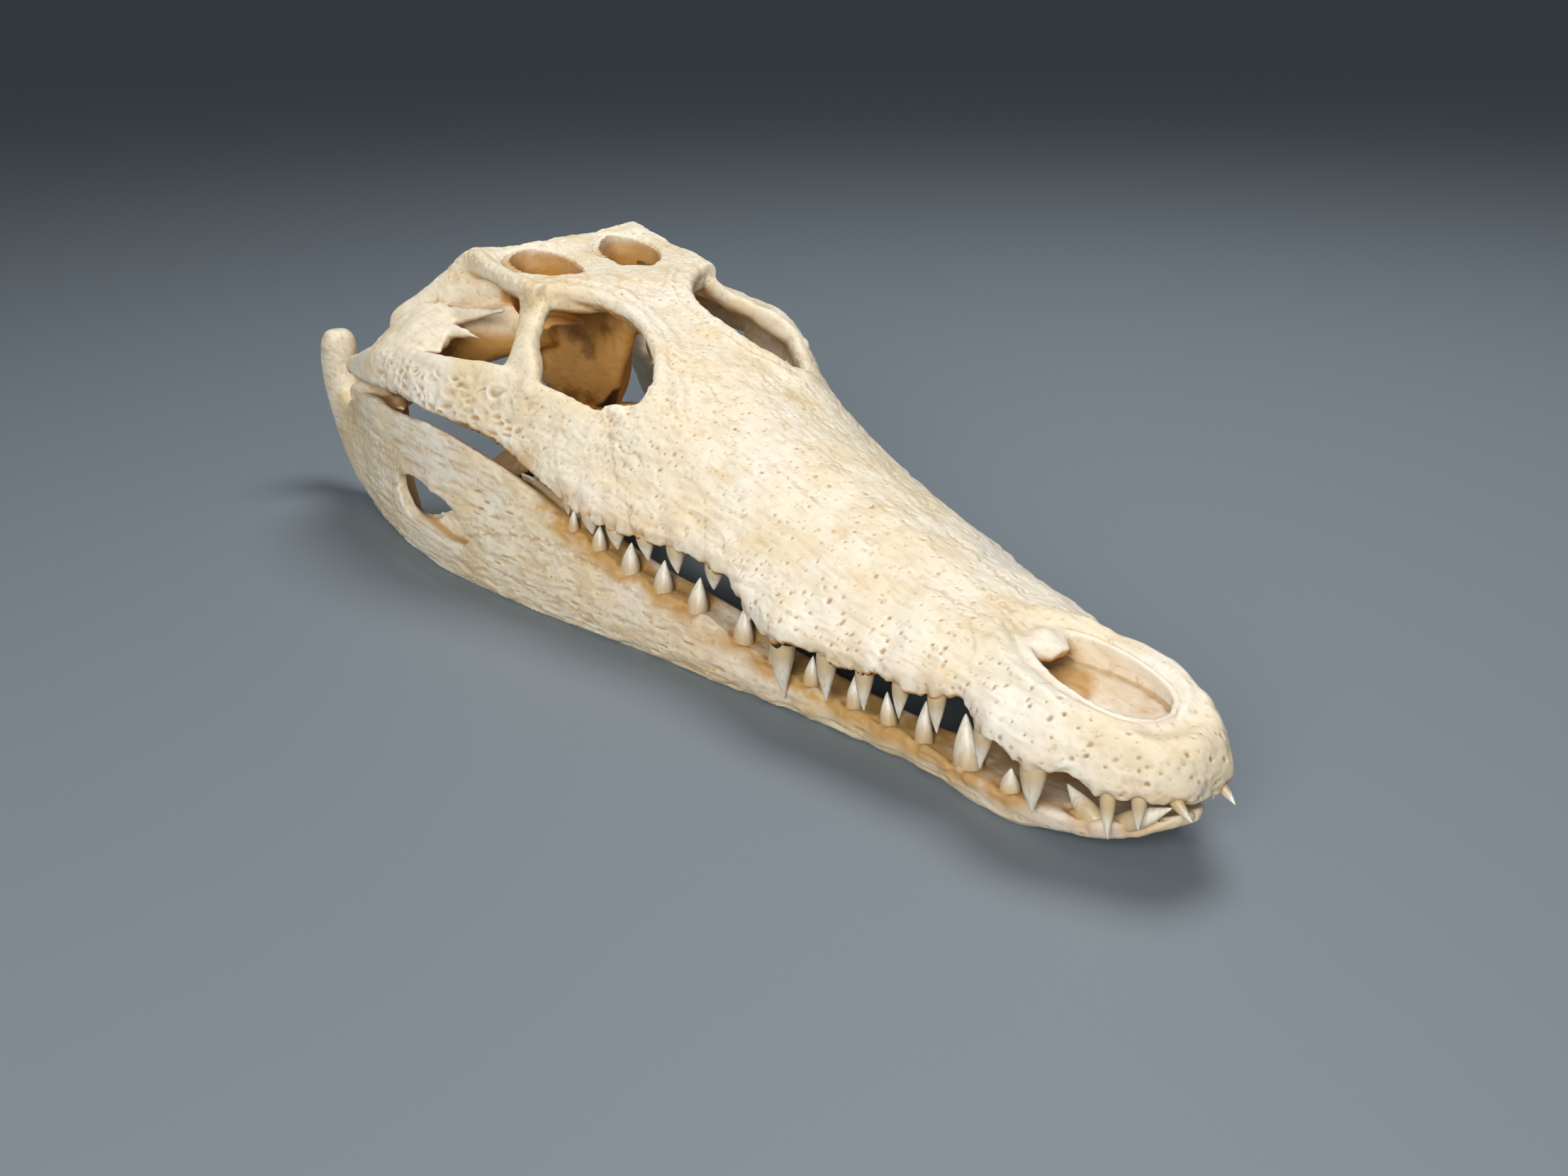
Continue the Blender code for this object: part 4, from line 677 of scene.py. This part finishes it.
def socket_marks(p, places, down, side):
    """How near points are to the teeth: the hollow round each root, the swelling of the bone, the stain."""
    hollow, swell, ochre_mark = np.zeros((3, len(p)))
    for base, long, wide, out, forward in places:
        near = np.where(np.abs(p[:, 0] - base[0]) < 9)[0]
        if not len(near):
            continue
        axis = tooth_axis(out, forward, down)
        d = p[near] * (1, side, 1) - base
        along = d @ axis
        away = np.linalg.norm(d - along[:, None] * axis, axis=1)
        radius = 0.5 * wide
        ring = bell(away, 0.55, radius * 1.02) * ramp(along, -3.2, -0.6)
        lump = bell(away, radius * 1.9 + 0.8) * ramp(-along, -1.5, 1) * ramp(-along, 14, 3)
        tint = bell(away, radius + 1.8) * bell(np.abs(along), 3.4)
        for marks, mark in ((hollow, ring), (swell, lump * min(1, 0.35 + wide / 6)), (ochre_mark, tint)):
            marks[near] = np.maximum(marks[near], mark)
    return hollow, swell, ochre_mark


def cranium_surface(p, n):
    """How far each point moves along its normal, in mm, and its marks: pit, ochre, dark, suture; ochre and
    dark hold stains and painted shade.
    """
    s, y, z = p.T
    side_y = np.abs(y)
    flat = np.column_stack([s, side_y])
    top = ramp(n[:, 2], 0.1, 0.5)
    outer = ramp(n[:, 1] * np.sign(y), 0, 0.4)
    front = ramp(n[:, 0], -0.3, -0.7) * (1 - ramp(s, 8, 14))
    facing = np.maximum(np.maximum(top, outer), front)
    snout = 1 - ramp(s, 150, 172)
    above = z - smooth(SNOUT_MARGIN, s)[:, 1]
    low = 1 - ramp(above, 3, 13)
    tip = (1 - ramp(s, 26, 46)) * facing
    bare = ramp(oval(s, y, 29, 23, 13), 0.85, 1.05)
    calm = between(s, 104, 120, 170, 184) * (1 - ramp(above, 9, 19)) * facing
    quiet = 1 - 0.75 * ramp(s, 186, 200) * (1 - ramp(z, 66, 71)) * ramp(side_y, 24, 28)

    # Lumps everywhere, higher at the tip; wavy folds along the maxilla's edge and the front of the jugal.
    bent = p + 1.2 * wander(p, 7, 61)
    move = bumps(p, SKULL_BUMPS) + bumps(p, TIP_LUMPS) * tip * bare
    streak = folds(bent, (12, 2.4, 2.4), (6, 1.2, 1.2), 6, level=0.6, share=0.6)
    move += streak * (0.06 + 0.20 * snout * ramp(s, 30, 70) + 0.10 * ramp(s, 240, 262))
    move += 0.36 * calm * folds(bent, (22, 2.6, 2.6), (14, 1.4, 1.4), 14, share=0.6)
    lacrimal = between(s, 140, 152, 186, 200) * between(z, 30, 34, 46, 54)
    wavy = 0.50 * np.maximum(low * snout, 0.8 * lacrimal) * (1 - 0.8 * calm) + 0.10 * snout * ramp(s,
        40, 80)
    move += wavy * facing * folds(bent, (9, 2.8, 2.8), (4.5, 1.3, 1.3), 11)

    # The nostril's sunken lip with a raised apron round it.
    ring = oval(s, y, 29, 19, 10.5)
    move += 0.7 * bell(ring, 0.14, 1.32) * top * (1 - ramp(s, 46, 56))
    move -= 1.7 * bell(ring, 0.16, 1) * top * (1 - ramp(s, 50, 60))

    # The frontal rises to the rims of the orbits, and the upper windows have funnel-like edges.
    crest = [row[:2] for row in ORBIT_RIM[:-1]]
    frontal = (s > 150) & (s < 222) & (n[:, 2] > 0.3) & (side_y < 30)
    far = near_line(flat, frontal, crest, 0.5, 77)
    inward = ramp(np.interp(s, *np.transpose(crest)) - side_y, 0, 1.5)
    move += 0.9 * inward * bell(far, 1.7, 3.6) - 0.35 * bell(far, 1.6)
    roof = (s > 216) & (s < 262) & (z > 72) & (n[:, 2] > 0.2)
    far = near_line(flat, roof, UPPER_WINDOW, 0.3, 75)
    move -= (0.5 + 2 * ramp(s, 232, 244)) * bell(far, 2.6)

    # Scattered openings for vessels and nerves; none in the nostril, few on the bars and the quadrate.
    pit = np.zeros(len(p))
    for size, share, wide, deep, seed, where in ((6.0, 0.50, 0.52, 0.8, 21, 0.9 * snout * facing),
            (3.2, 0.76, 0.36, 0.6, 22, facing * quiet * (0.75 + 0.25 * low + 0.25 * tip)),
            (2.3, 0.70, 0.25, 0.3, 23, facing * quiet * (0.4 + 0.4 * ramp(s, 100, 140) + 0.2 * low))):
        shape = openings(p, n, size, share, wide, seed) * where * bare * (1 - 0.4 * calm)
        move -= 0.8 * deep * shape
        pit = np.maximum(pit, 0.85 * shape)

    # The deep net of pits on the cheek bar, and a shallow one on the table and round the orbits.
    cheek = ramp(s, 176, 194) * ramp(side_y, 38, 43) * (1 - ramp(s + 5 * noise(p, 9, 39), 236, 258)) * outer
    cheek *= 1 - ramp(z + 1.5 * noise(p, 6, 38), 53.5, 58.5)
    table = ramp(s, 206, 216) * ramp(z, 69, 73) * top
    brow = between(s, 136, 156, 206, 216) * facing * (1 - cheek)
    patch = ramp(noise(p, 11, 33), -0.35, 0.45)
    shallow = (0.26 * table + 0.22 * brow) * quiet * (0.3 + 0.7 * patch)
    net = pitted(p, n, (4.3, 2.5), 31)
    fine_net = pitted(p, n, (2.6, 2.3), 35)
    move += 0.8 * cheek * net + 0.25 * cheek * noise(p, 1.8, 37) + shallow * fine_net
    pit = np.maximum(pit, np.clip(-0.65 * net, 0, 0.9) * cheek)
    pit = np.maximum(pit, np.clip(-1.3 * fine_net * shallow, 0, 1))

    suture = suture_marks(flat, n[:, 2] > 0.1, TOP_SUTURES, 0.9, 0.36, 41)
    suture *= facing * ramp(z, 18, 24) * (0.35 + 0.65 * ramp(noise(p, 9, 49), -0.5, 0.4))
    move -= 0.22 * suture

    # The bone swells round each root, and the front of the orbit's lower rim is ragged.
    roots = np.zeros(len(p))
    for side in (-1, 1):
        mine = np.where(y * side > 0)[0]
        hollow, swell, tint = socket_marks(p[mine], UPPER_PLACES[side], -1, side)
        move[mine] += 0.95 * swell * outer[mine] - 0.9 * hollow
        roots[mine] = 0.8 * tint
        pit[mine] = np.maximum(pit[mine], 0.6 * hollow)
    move += between(s, 160, 164, 172, 177) * between(side_y, 18, 21, 30, 34) * ramp(z, 50, 53) * bumps(p,
        RAGGED)
    ochre_mark, dark = cranium_stains_and_painted_shade(p, n, roots)
    return move, pit, ochre_mark, dark, suture


def cranium_stains_and_painted_shade(p, n, roots):
    """Stains in windows, nostril and the given roots; ochre below the roof; painted shade under the palate.
    """
    s, y, z = p.T
    side_y = np.abs(y)
    under = ramp(-n[:, 2], 0.1, 0.6)
    inside = between(s, 206, 214, 258, 264) * (1 - ramp(side_y, 19, 25)) * (1 - ramp(z, 68, 76))
    behind = ramp(s, 226, 240) * (1 - ramp(side_y, 47, 51)) * between(z, 24, 30, 55, 62)
    inside = np.maximum(inside, behind) * (1 - ramp(s, 252, 264)) * (1 - 0.8 * ramp(n[:, 0], 0.1, 0.6))
    windows = between(s, 218, 224, 252, 256) * between(z, 50, 60, 76, 80)
    windows *= (1 - ramp(side_y, 21, 25)) * (1 - ramp(n[:, 2], 0.2, 0.7))
    # Painted shade: ochre on the faces that look down under the palate, and brown to near black in the
    # mouth.
    palate = under * ramp(s, 8, 20)
    painted_mouth_shade = palate * ramp(s, 26, 60) * (1 - ramp(z, 40, 46))
    # The dark mark holds brown stains inside the skull and in the windows, and the painted shade in the
    # mouth.
    dark = np.maximum(np.clip(0.55 * inside + 0.25 * windows, 0, 1), painted_mouth_shade)
    basin = (1 - ramp(oval(s, y, 27, 17, 10), 0.75, 1)) * (1 - ramp(z, 27.5, 30))
    throat = (1 - ramp(oval(s, y, 40, 9, 7), 0.7, 1.1)) * (1 - ramp(z, 27.5, 29.5))
    cheek = ramp(-n[:, 1] * np.sign(y), 0.2, 0.7) * ramp(side_y, 26, 32) * ramp(s, 150, 160)
    roof = under * ramp(z, 52, 60) * ramp(s, 160, 170) * (1 - ramp(side_y, 20, 26))
    wing = (1 - ramp(z, 38, 43)) * ramp(s, 176, 186) * np.where(y < 0, 1, 0.3)
    ochre_mark = np.maximum(roots, 0.55 * palate) + 0.35 * basin + 0.2 * cheek + 0.6 * roof
    return np.clip(ochre_mark + 0.8 * (throat + windows + wing), 0, 1), dark


def jaw_surface(p, n, side):
    """The same for one half of the lower jaw."""
    s, y, z = p.T
    side_y = np.abs(y)
    flat = np.column_stack([s, z])
    across = n[:, 1] * side
    outer = ramp(across, 0, 0.4)
    grain = folds(p + wander(p, 9, 161), (18, 2.4, 2), (9, 1.2, 1.1), 106)
    move = bumps(p, JAW_BUMPS) + grain * (0.08 + 0.52 * outer * between(s, 22, 40, 262, 285))

    # Long thin slots and small openings that run along the dentary, and a shallow net behind them.
    pit = np.zeros(len(p))
    for size, share, wide, deep, seed in (((13, 2.4), 0.22, 0.15, 0.6, 121),
            ((4.6, 3), 0.14, 0.10, 0.4, 122)):
        first, _, mark = cells(flat / size, seed)
        shape = np.where(mark < share, 1 - ramp(first, wide * 0.4, wide * 1.3), 0)
        shape *= outer * (1 - ramp(s, 190, 215))
        move -= deep * shape
        pit = np.maximum(pit, shape * (0.45 + 0.55 * (mark * 13.7 % 1)))
    rear = between(s, 222, 248, 292, 306) * outer * (1 - ramp(z, 26, 34))
    net = pitted(p, n, (4.6, 2.9), 131)
    shape = openings(p, n, 5, 0.24, 0.34, 124) * np.maximum(outer, ramp(n[:, 2], 0.2, 0.6))
    move += 0.24 * rear * net - 0.45 * shape
    pit = np.maximum(np.maximum(pit, np.clip(-0.18 * net, 0, 1) * rear), 0.6 * shape)
    suture = suture_marks(flat, across > 0, JAW_SUTURES, 0.7, 0.45, 141) * outer
    move -= 0.28 * suture

    hollow, swell, tint = socket_marks(p, LOWER_PLACES[side], 1, side)
    move += 0.55 * swell * np.maximum(outer, 0.3) - 0.8 * hollow
    move *= ramp(z, 0, 0.6) * ramp(side_y, 0.2, 1.2)    # nothing moves on the ground and at the midline

    rim = bell(z, 3.2, smooth(JAW_EDGE, s)[:, 1]) * between(s, 10, 30, 172, 196)
    ochre_mark = np.clip(0.9 * tint + 0.95 * rim * ramp(noise(p, (10, 5, 5), 151), -0.9, 0.2), 0, 1)
    # Painted shade: the front of the jaw is tinted darker tan, and its inward faces ochre and brown to near
    # black.
    shade = (1 - ramp(s, 90, 190)) * ramp(noise(p, (16, 3, 3), 152), -0.9, 0.6)
    lining = (1 - outer) * between(s, 188, 200, 268, 282) * ramp(57.5 - side_y, -0.5, 1.5)
    inner = (1 - ramp(across, -0.7, -0.1)) * ramp(s, 20, 40)
    for share, where in ((0.42, shade), (0.95, lining), (0.45, inner)):
        ochre_mark = np.maximum(ochre_mark, share * where)
    return move, pit, ochre_mark, inner * between(s, 24, 50, 196, 210), suture


# Joining and cutting.

def placed(name, data):
    """A new object in the scene."""
    obj = bpy.data.objects.new(name, data)
    bpy.context.scene.collection.objects.link(obj)
    return obj


def modified(obj, kind, **settings):
    """Gives the object a modifier and applies it."""
    modifier = obj.modifiers.new(kind, kind)
    for key, value in settings.items():
        setattr(modifier, key, value)
    bpy.context.view_layer.update()
    graph = bpy.context.evaluated_depsgraph_get()
    mesh = bpy.data.meshes.new_from_object(obj.evaluated_get(graph))
    obj.modifiers.clear()
    old, obj.data = obj.data, mesh
    bpy.data.meshes.remove(old)


def discard(objects):
    for obj in objects:
        mesh = obj.data
        bpy.data.objects.remove(obj)
        bpy.data.meshes.remove(mesh)


def boolean(obj, others, operation):
    """One Boolean with a collection of closed meshes, which are then removed."""
    group = bpy.data.collections.new("operands")
    bpy.context.scene.collection.children.link(group)
    for other in others:
        group.objects.link(other)
    modified(obj, "BOOLEAN", operation=operation, operand_type="COLLECTION", collection=group,
        solver="MANIFOLD")
    discard(others)
    bpy.data.collections.remove(group)


def joined(name, pieces):
    """The pieces as one object; they may cross each other."""
    build = bmesh.new()
    for piece in pieces:
        build.from_mesh(piece.data)
    mesh = bpy.data.meshes.new(name)
    build.to_mesh(mesh)
    build.free()
    discard(pieces)
    return placed(name, mesh)


def remesh(obj, voxel):
    modified(obj, "REMESH", mode="VOXEL", voxel_size=voxel * MM)


def bone(name, pieces, cutters, voxel):
    """The pieces grown together into one skin, cut, and softened."""
    obj = joined(name, pieces)
    remesh(obj, voxel)
    boolean(obj, cutters, "DIFFERENCE")
    remesh(obj, voxel)
    modified(obj, "SMOOTH", factor=0.5, iterations=SOFTEN_ROUNDS)
    largest(obj)
    return obj


def fetched(items, key, width, kind=np.float32):
    """One row of values for each item of a mesh."""
    values = np.empty(len(items) * width, kind)
    items.foreach_get(key, values)
    return values.reshape(-1, width)


def arrays(mesh):
    """The mesh's points as (s, y, z) in mm, and its normals in the same axes."""
    p = fetched(mesh.vertices, "co", 3).astype(float) / MM
    n = fetched(mesh.vertex_normals, "vector", 3).astype(float)
    return np.column_stack([MID_S - p[:, 0], p[:, 1], p[:, 2]]), n * (-1, 1, 1)


def largest(obj):
    """Leaves only the largest connected surface."""
    mesh = obj.data
    a, b = fetched(mesh.edges, "vertices", 2, np.int64).T
    label = np.arange(len(mesh.vertices))
    settled = False
    while not settled:
        new, low = label.copy(), np.minimum(label[a], label[b])
        np.minimum.at(new, a, low)
        np.minimum.at(new, b, low)
        new = new[new]
        settled = (new == label).all()
        label = new
    loose = np.where(label != np.bincount(label).argmax())[0]
    if not len(loose):
        return
    build = bmesh.new()
    build.from_mesh(mesh)
    build.verts.ensure_lookup_table()
    bmesh.ops.delete(build, geom=[build.verts[i] for i in loose], context="VERTS")
    build.to_mesh(mesh)
    build.free()


def hollowness(mesh, p, n, rounds):
    """How far each point lies inside its smoothed surroundings: positive in hollows, negative on ridges."""
    a, b = fetched(mesh.edges, "vertices", 2, np.int64).T
    count = np.bincount(a, minlength=len(p)) + np.bincount(b, minlength=len(p))
    q = p.copy()
    for _ in range(rounds):
        total = np.column_stack([np.bincount(a, q[b, k], len(p)) + np.bincount(b, q[a, k], len(p))
            for k in range(3)])
        q = 0.3 * q + 0.7 * total / count[:, None]
    return np.einsum("ij,ij->i", q - p, n)


def carve(obj, material, surface, *args):
    """Moves the points along their normals, stores the marks that the material reads, and puts it on."""
    mesh = obj.data
    p, n = arrays(mesh)
    move, *marks = surface(p, n, *args)
    mesh.vertices.foreach_set("co", to_world(p + move[:, None] * n).astype(np.float32).ravel())
    mesh.update()
    hollow = np.clip(hollowness(mesh, *arrays(mesh), HOLLOW_ROUNDS) / DEEP_HOLLOW, -1, 1)
    values = np.clip(np.column_stack(marks), 0, 1).astype(np.float32)
    mesh.color_attributes.new("marks", "FLOAT_COLOR", "POINT").data.foreach_set("color", values.ravel())
    mesh.attributes.new("relief", "FLOAT", "POINT").data.foreach_set("value", hollow.astype(np.float32))
    mesh.shade_smooth()
    mesh.materials.clear()
    mesh.materials.append(material)


def snout_piece():
    snout = joined("snout", [solid("snout", snout_rings())])
    boolean(snout, [cavity_cutter()] + both(prism, "orbit", ORBIT, low=46, high=90), "DIFFERENCE")
    return snout


def cranium_cutters():
    windows = both(prism, "upper_window", UPPER_WINDOW, low=60, high=90)
    gaps = both(prism, "palate_window", PALATE_WINDOW, low=20, high=41.5)
    choana = ball("choana", (238, 0, 28), (5.5, 5.5, 4))
    brain_door = ball("foramen_magnum", (261, 0, 61.5), (9, 4.6, 4))
    return windows + gaps + nostril_cutters() + [choana, brain_door]


# Materials.

class Nodes:
    """Short calls for building a shader."""

    def __init__(self, name):
        self.material = bpy.data.materials.new(name)
        self.material.use_nodes = True
        self.tree = self.material.node_tree
        self.shader = self.tree.nodes["Principled BSDF"]

    def feed(self, node, inputs):
        """Links the sockets among the inputs, and sets the plain values."""
        for key, value in inputs.items():
            if isinstance(value, bpy.types.NodeSocket):
                self.tree.links.new(value, node.inputs[key])
            else:
                node.inputs[key].default_value = value

    def add(self, kind, inputs=None, **settings):
        node = self.tree.nodes.new(kind)
        for key, value in settings.items():
            setattr(node, key, value)
        self.feed(node, inputs or {})
        return node

    def mix(self, share, one, two):
        node = self.add("ShaderNodeMix", data_type="RGBA", clamp_factor=True)
        self.feed(node, {0: share, 6: one, 7: two})
        return node.outputs[2]

    def times(self, one, two, clamp=False):
        return self.add("ShaderNodeMath", {0: one, 1: two}, operation="MULTIPLY",
            use_clamp=clamp).outputs[0]

    def ramp(self, value, low, high):
        return self.add("ShaderNodeMapRange", {0: value, 1: low, 2: high},
            interpolation_type="SMOOTHSTEP").outputs[0]

    def mark(self, name, output):
        return self.add("ShaderNodeAttribute", attribute_name=name).outputs[output]

    def noise(self, scale, detail=3.0, stretch=(1, 1, 1), rough=0.5):
        where = self.add("ShaderNodeTexCoord").outputs["Object"]
        where = self.add("ShaderNodeMapping", {"Vector": where, "Scale": stretch}).outputs[0]
        return self.add("ShaderNodeTexNoise", {"Vector": where, "Scale": scale, "Detail": detail,
            "Roughness": rough}).outputs["Fac"]

    def painted(self, colour, layers):
        """Lays paints over a colour; layers are (where, how strongly, paint)."""
        for share, strength, paint in layers:
            colour = self.mix(self.times(share, strength), colour, (*paint, 1))
        return colour

    def finished(self, colour, rough, specular, scatter, radius, grain, strength, distance):
        """The whole material, with light scattered below its surface and a fine grain as bump."""
        bump = self.add("ShaderNodeBump", {"Height": grain, "Strength": strength, "Distance": distance})
        self.feed(self.shader, {"Base Color": colour, "Roughness": rough, "Specular IOR Level": specular,
            "Subsurface Weight": scatter, "Subsurface Radius": radius, "Subsurface Scale": SCATTER_DEPTH,
            "Normal": bump.outputs[0]})
        return self.material


def bone_material(name, base, warm, streaks):
    """Dry bone: cream, whiter on its ridges, tan in hollows and pits, ochre and brown stains, and painted
    shade.
    """
    m = Nodes(name)
    split = m.add("ShaderNodeSeparateColor", {"Color": m.mark("marks", "Color")})
    pit, ochre_mark, dark = split.outputs[0], split.outputs[1], split.outputs[2]
    relief = m.mark("relief", "Fac")
    fibre = m.noise(900, 3, (0.10, 1, 1))
    patchy = m.times(ochre_mark, m.ramp(m.noise(160, 4), 0.15, 0.50), clamp=True)
    spot = m.times(m.ramp(dark, 0.2, 0.55), m.ramp(m.noise(95, 4), 0.54, 0.68))
    colour = m.painted(m.mix(m.ramp(m.noise(55, 4), 0.40, 0.66), base, warm),
        ((m.ramp(m.noise(130, 5, rough=0.6), 0.55, 0.72), 0.55, (0.70, 0.50, 0.25)),
        (m.ramp(m.noise(34, 4), 0.52, 0.68), 0.45, (0.80, 0.61, 0.33)),
        (m.ramp(m.noise(24, 4), 0.48, 0.66), 0.65, (0.91, 0.87, 0.79)),
        (m.ramp(fibre, 0.50, 0.75), streaks, (0.52, 0.34, 0.15)),
        (m.ramp(m.noise(330, 3, (0.08, 1, 1)), 0.53, 0.68), 0.9 * streaks, (0.58, 0.40, 0.19)),
        (m.ramp(m.noise(620, 2), 0.63, 0.72), 0.55, (0.60, 0.42, 0.19)),
        (m.ramp(relief, 0.02, 0.75), 0.70, (0.50, 0.33, 0.14)),
        (m.ramp(relief, -0.05, -0.7), 0.45, (0.94, 0.90, 0.80)),
        (m.ramp(pit, 0.15, 0.95), 0.75, (0.33, 0.20, 0.08)),
        # The patchy ochre shows stains, and painted shade under the palate and on the jaw's front and
        # inward faces.
        (m.mark("marks", "Alpha"), 0.35, (0.42, 0.28, 0.12)), (patchy, 0.9, (0.55, 0.30, 0.075)),
        # The dark brown shows stains inside the skull, and painted shade in the mouth and on the jaw's
        # inward faces.
        (m.ramp(dark, 0.0, 0.55), 0.92, (0.60, 0.31, 0.065)), (spot, 0.65, (0.16, 0.07, 0.018)),
        # Painted shade: near black in the mouth and on the jaw's inward faces.
        (m.ramp(dark, 0.62, 1.0), 1.0, (0.05, 0.024, 0.010))))
    rough = m.add("ShaderNodeMapRange", {0: m.noise(300, 3), 1: 0.3, 2: 0.7, 3: 0.46, 4: 0.66}).outputs[0]
    grain = m.add("ShaderNodeMath", {0: m.noise(1500, 3, rough=0.6), 1: m.times(fibre, 0.6)},
        operation="ADD")
    return m.finished(colour, rough, specular=0.42, scatter=0.06, radius=(1.0, 0.55, 0.30),
        grain=grain.outputs[0], strength=0.30, distance=0.00016)


def tooth_material():
    """Cream-white dentine with fine upright lines, darker and ochre at the neck."""
    m = Nodes("dentine")
    lines = m.noise(1300, 3, (1, 1, 0.07))
    colour = m.painted(m.mix(m.ramp(lines, 0.42, 0.72), (0.90, 0.85, 0.74, 1), (0.70, 0.62, 0.49, 1)),
        ((m.ramp(m.noise(150, 3), 0.45, 0.7), 0.4, (0.76, 0.66, 0.48)),
        (m.mark("neck", "Fac"), 0.80, (0.56, 0.39, 0.18))))
    return m.finished(colour, rough=0.34, specular=0.5, scatter=0.18, radius=(1.0, 0.7, 0.45), grain=lines,
        strength=0.25, distance=0.00015)


def set_of_teeth(name, places, down, side, material, worn_from, wear):
    """One side's teeth of one jaw, as one piece, with how near each point is to the bone.

    wear is how blunt the tips are, before and behind the place worn_from.
    """
    made, neck = [], []
    for i, place in enumerate(places):
        base, long = np.array(place[0]) * (1, side, 1), place[1]
        made.append(tooth(place, down, side, wear[int(base[0] > worn_from)], 9 + (i * 5) % 6))
        away = np.linalg.norm(arrays(made[-1].data)[0] - base, axis=1)
        neck.append(1 - ramp(away, 0.12 * long + 1, 0.45 * long + 1.5))
    obj = joined(name, made)
    held = obj.data.attributes.new("neck", "FLOAT", "POINT")
    held.data.foreach_set("value", np.concatenate(neck).astype(np.float32))
    obj.data.shade_smooth()
    obj.data.materials.append(material)
    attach(obj, "root")


# The photograph's viewpoint, and the surroundings, in metres.

CAMERA_PLACE = (0.30442, -0.17984, 0.14932)
CAMERA_TURN = (1.1734, 0.0156, 0.9952)
FOCAL_LENGTH = 33.32        # mm, on a sensor 36 mm wide
FLOOR_HALF = 40.0
FLOOR_COLOUR = (0.19, 0.23, 0.265, 1)
SKY_COLOUR = (0.66, 0.73, 0.82, 1)
SKY_STRENGTH = 0.15
# Lights: name, place, aim, width, power in watts, colour.
LIGHTS = (("overhead", (-0.06, 0.26, 0.80), (-0.02, 0, 0.03), 0.46, 4.6, (1.0, 0.985, 0.96)),
    ("front", (0.55, -0.60, 0.42), (0, 0, 0.03), 0.55, 6.4, (1.0, 0.975, 0.935)))


def place_camera():
    data = bpy.data.cameras.new("camera")
    data.sensor_fit = "HORIZONTAL"
    data.sensor_width = 36
    data.lens = FOCAL_LENGTH
    data.clip_start = 0.01
    camera = placed("camera", data)
    camera.location = CAMERA_PLACE
    camera.rotation_euler = Euler(CAMERA_TURN)
    bpy.context.scene.camera = camera


def place_light(name, place, aim, size, power, colour):
    data = bpy.data.lights.new(name, "AREA")
    data.shape = "DISK"
    data.size = size
    data.energy = power
    data.color = colour
    lamp = placed(name, data)
    lamp.location = place
    lamp.rotation_euler = (Vector(aim) - Vector(place)).to_track_quat("-Z", "Y").to_euler()


def place_surroundings():
    build = bmesh.new()
    bmesh.ops.create_grid(build, x_segments=2, y_segments=2, size=FLOOR_HALF)
    data = bpy.data.meshes.new("floor")
    build.to_mesh(data)
    build.free()
    ground = Nodes("floor")
    ground.feed(ground.shader, {"Base Color": FLOOR_COLOUR, "Roughness": 0.6})
    data.materials.append(ground.material)
    floor = placed("floor", data)
    world = bpy.data.worlds.new("studio")
    world.use_nodes = True
    back = world.node_tree.nodes["Background"]
    back.inputs["Color"].default_value = SKY_COLOUR
    back.inputs["Strength"].default_value = SKY_STRENGTH
    bpy.context.scene.world = world
    bpy.context.scene.view_settings.view_transform = "Standard"
    for light in LIGHTS:
        place_light(*light)


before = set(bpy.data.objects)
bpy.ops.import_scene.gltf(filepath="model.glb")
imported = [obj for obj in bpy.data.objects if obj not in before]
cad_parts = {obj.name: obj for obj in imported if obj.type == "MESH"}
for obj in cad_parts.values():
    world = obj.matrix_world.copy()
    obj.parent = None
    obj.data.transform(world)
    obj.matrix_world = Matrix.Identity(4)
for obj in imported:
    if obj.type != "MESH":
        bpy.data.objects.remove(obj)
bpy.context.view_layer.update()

UPPER_PLACES = tooth_places(UPPER_TEETH, SNOUT_MARGIN, inset=0.6, raise_by=0.4, seed=5)
LOWER_PLACES = tooth_places(LOWER_TEETH, JAW_EDGE, inset=0.6, raise_by=-0.4, seed=11)

cream = bone_material("bone", (0.87, 0.79, 0.63, 1), (0.82, 0.70, 0.49, 1), streaks=0.25)
jaw_cream = bone_material("jaw_bone", (0.86, 0.77, 0.60, 1), (0.78, 0.64, 0.42, 1), streaks=0.50)
dentine = tooth_material()

pieces = [snout_piece(), table_piece()] + nostril_pieces() + frontal_pieces() + braincase_pieces()
cranium = bone("cranium", pieces + cheek_pieces() + palate_pieces(), cranium_cutters(), SNOUT_VOXEL)
carve(cranium, cream, cranium_surface)
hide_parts("rostrum", "skull_roof", "cheek_right", "cheek_left", "palate")
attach(cranium, "root")

for side, word in ((-1, "right"), (1, "left")):
    ramus = bone("jaw_" + word, ramus_pieces(side), ramus_cutters(side), JAW_VOXEL)
    trimmed(ramus, side)
    remesh(ramus, JAW_VOXEL)
    carve(ramus, jaw_cream, jaw_surface, side)
    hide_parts("mandible_" + word)
    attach(ramus, "root")
    set_of_teeth("upper_teeth_" + word, UPPER_PLACES[side], -1, side, dentine, worn_from=100,
        wear=(0, 0.06))
    set_of_teeth("lower_teeth_" + word, LOWER_PLACES[side], 1, side, dentine, worn_from=30,
        wear=(0.03, 0.07))

place_surroundings()
place_camera()
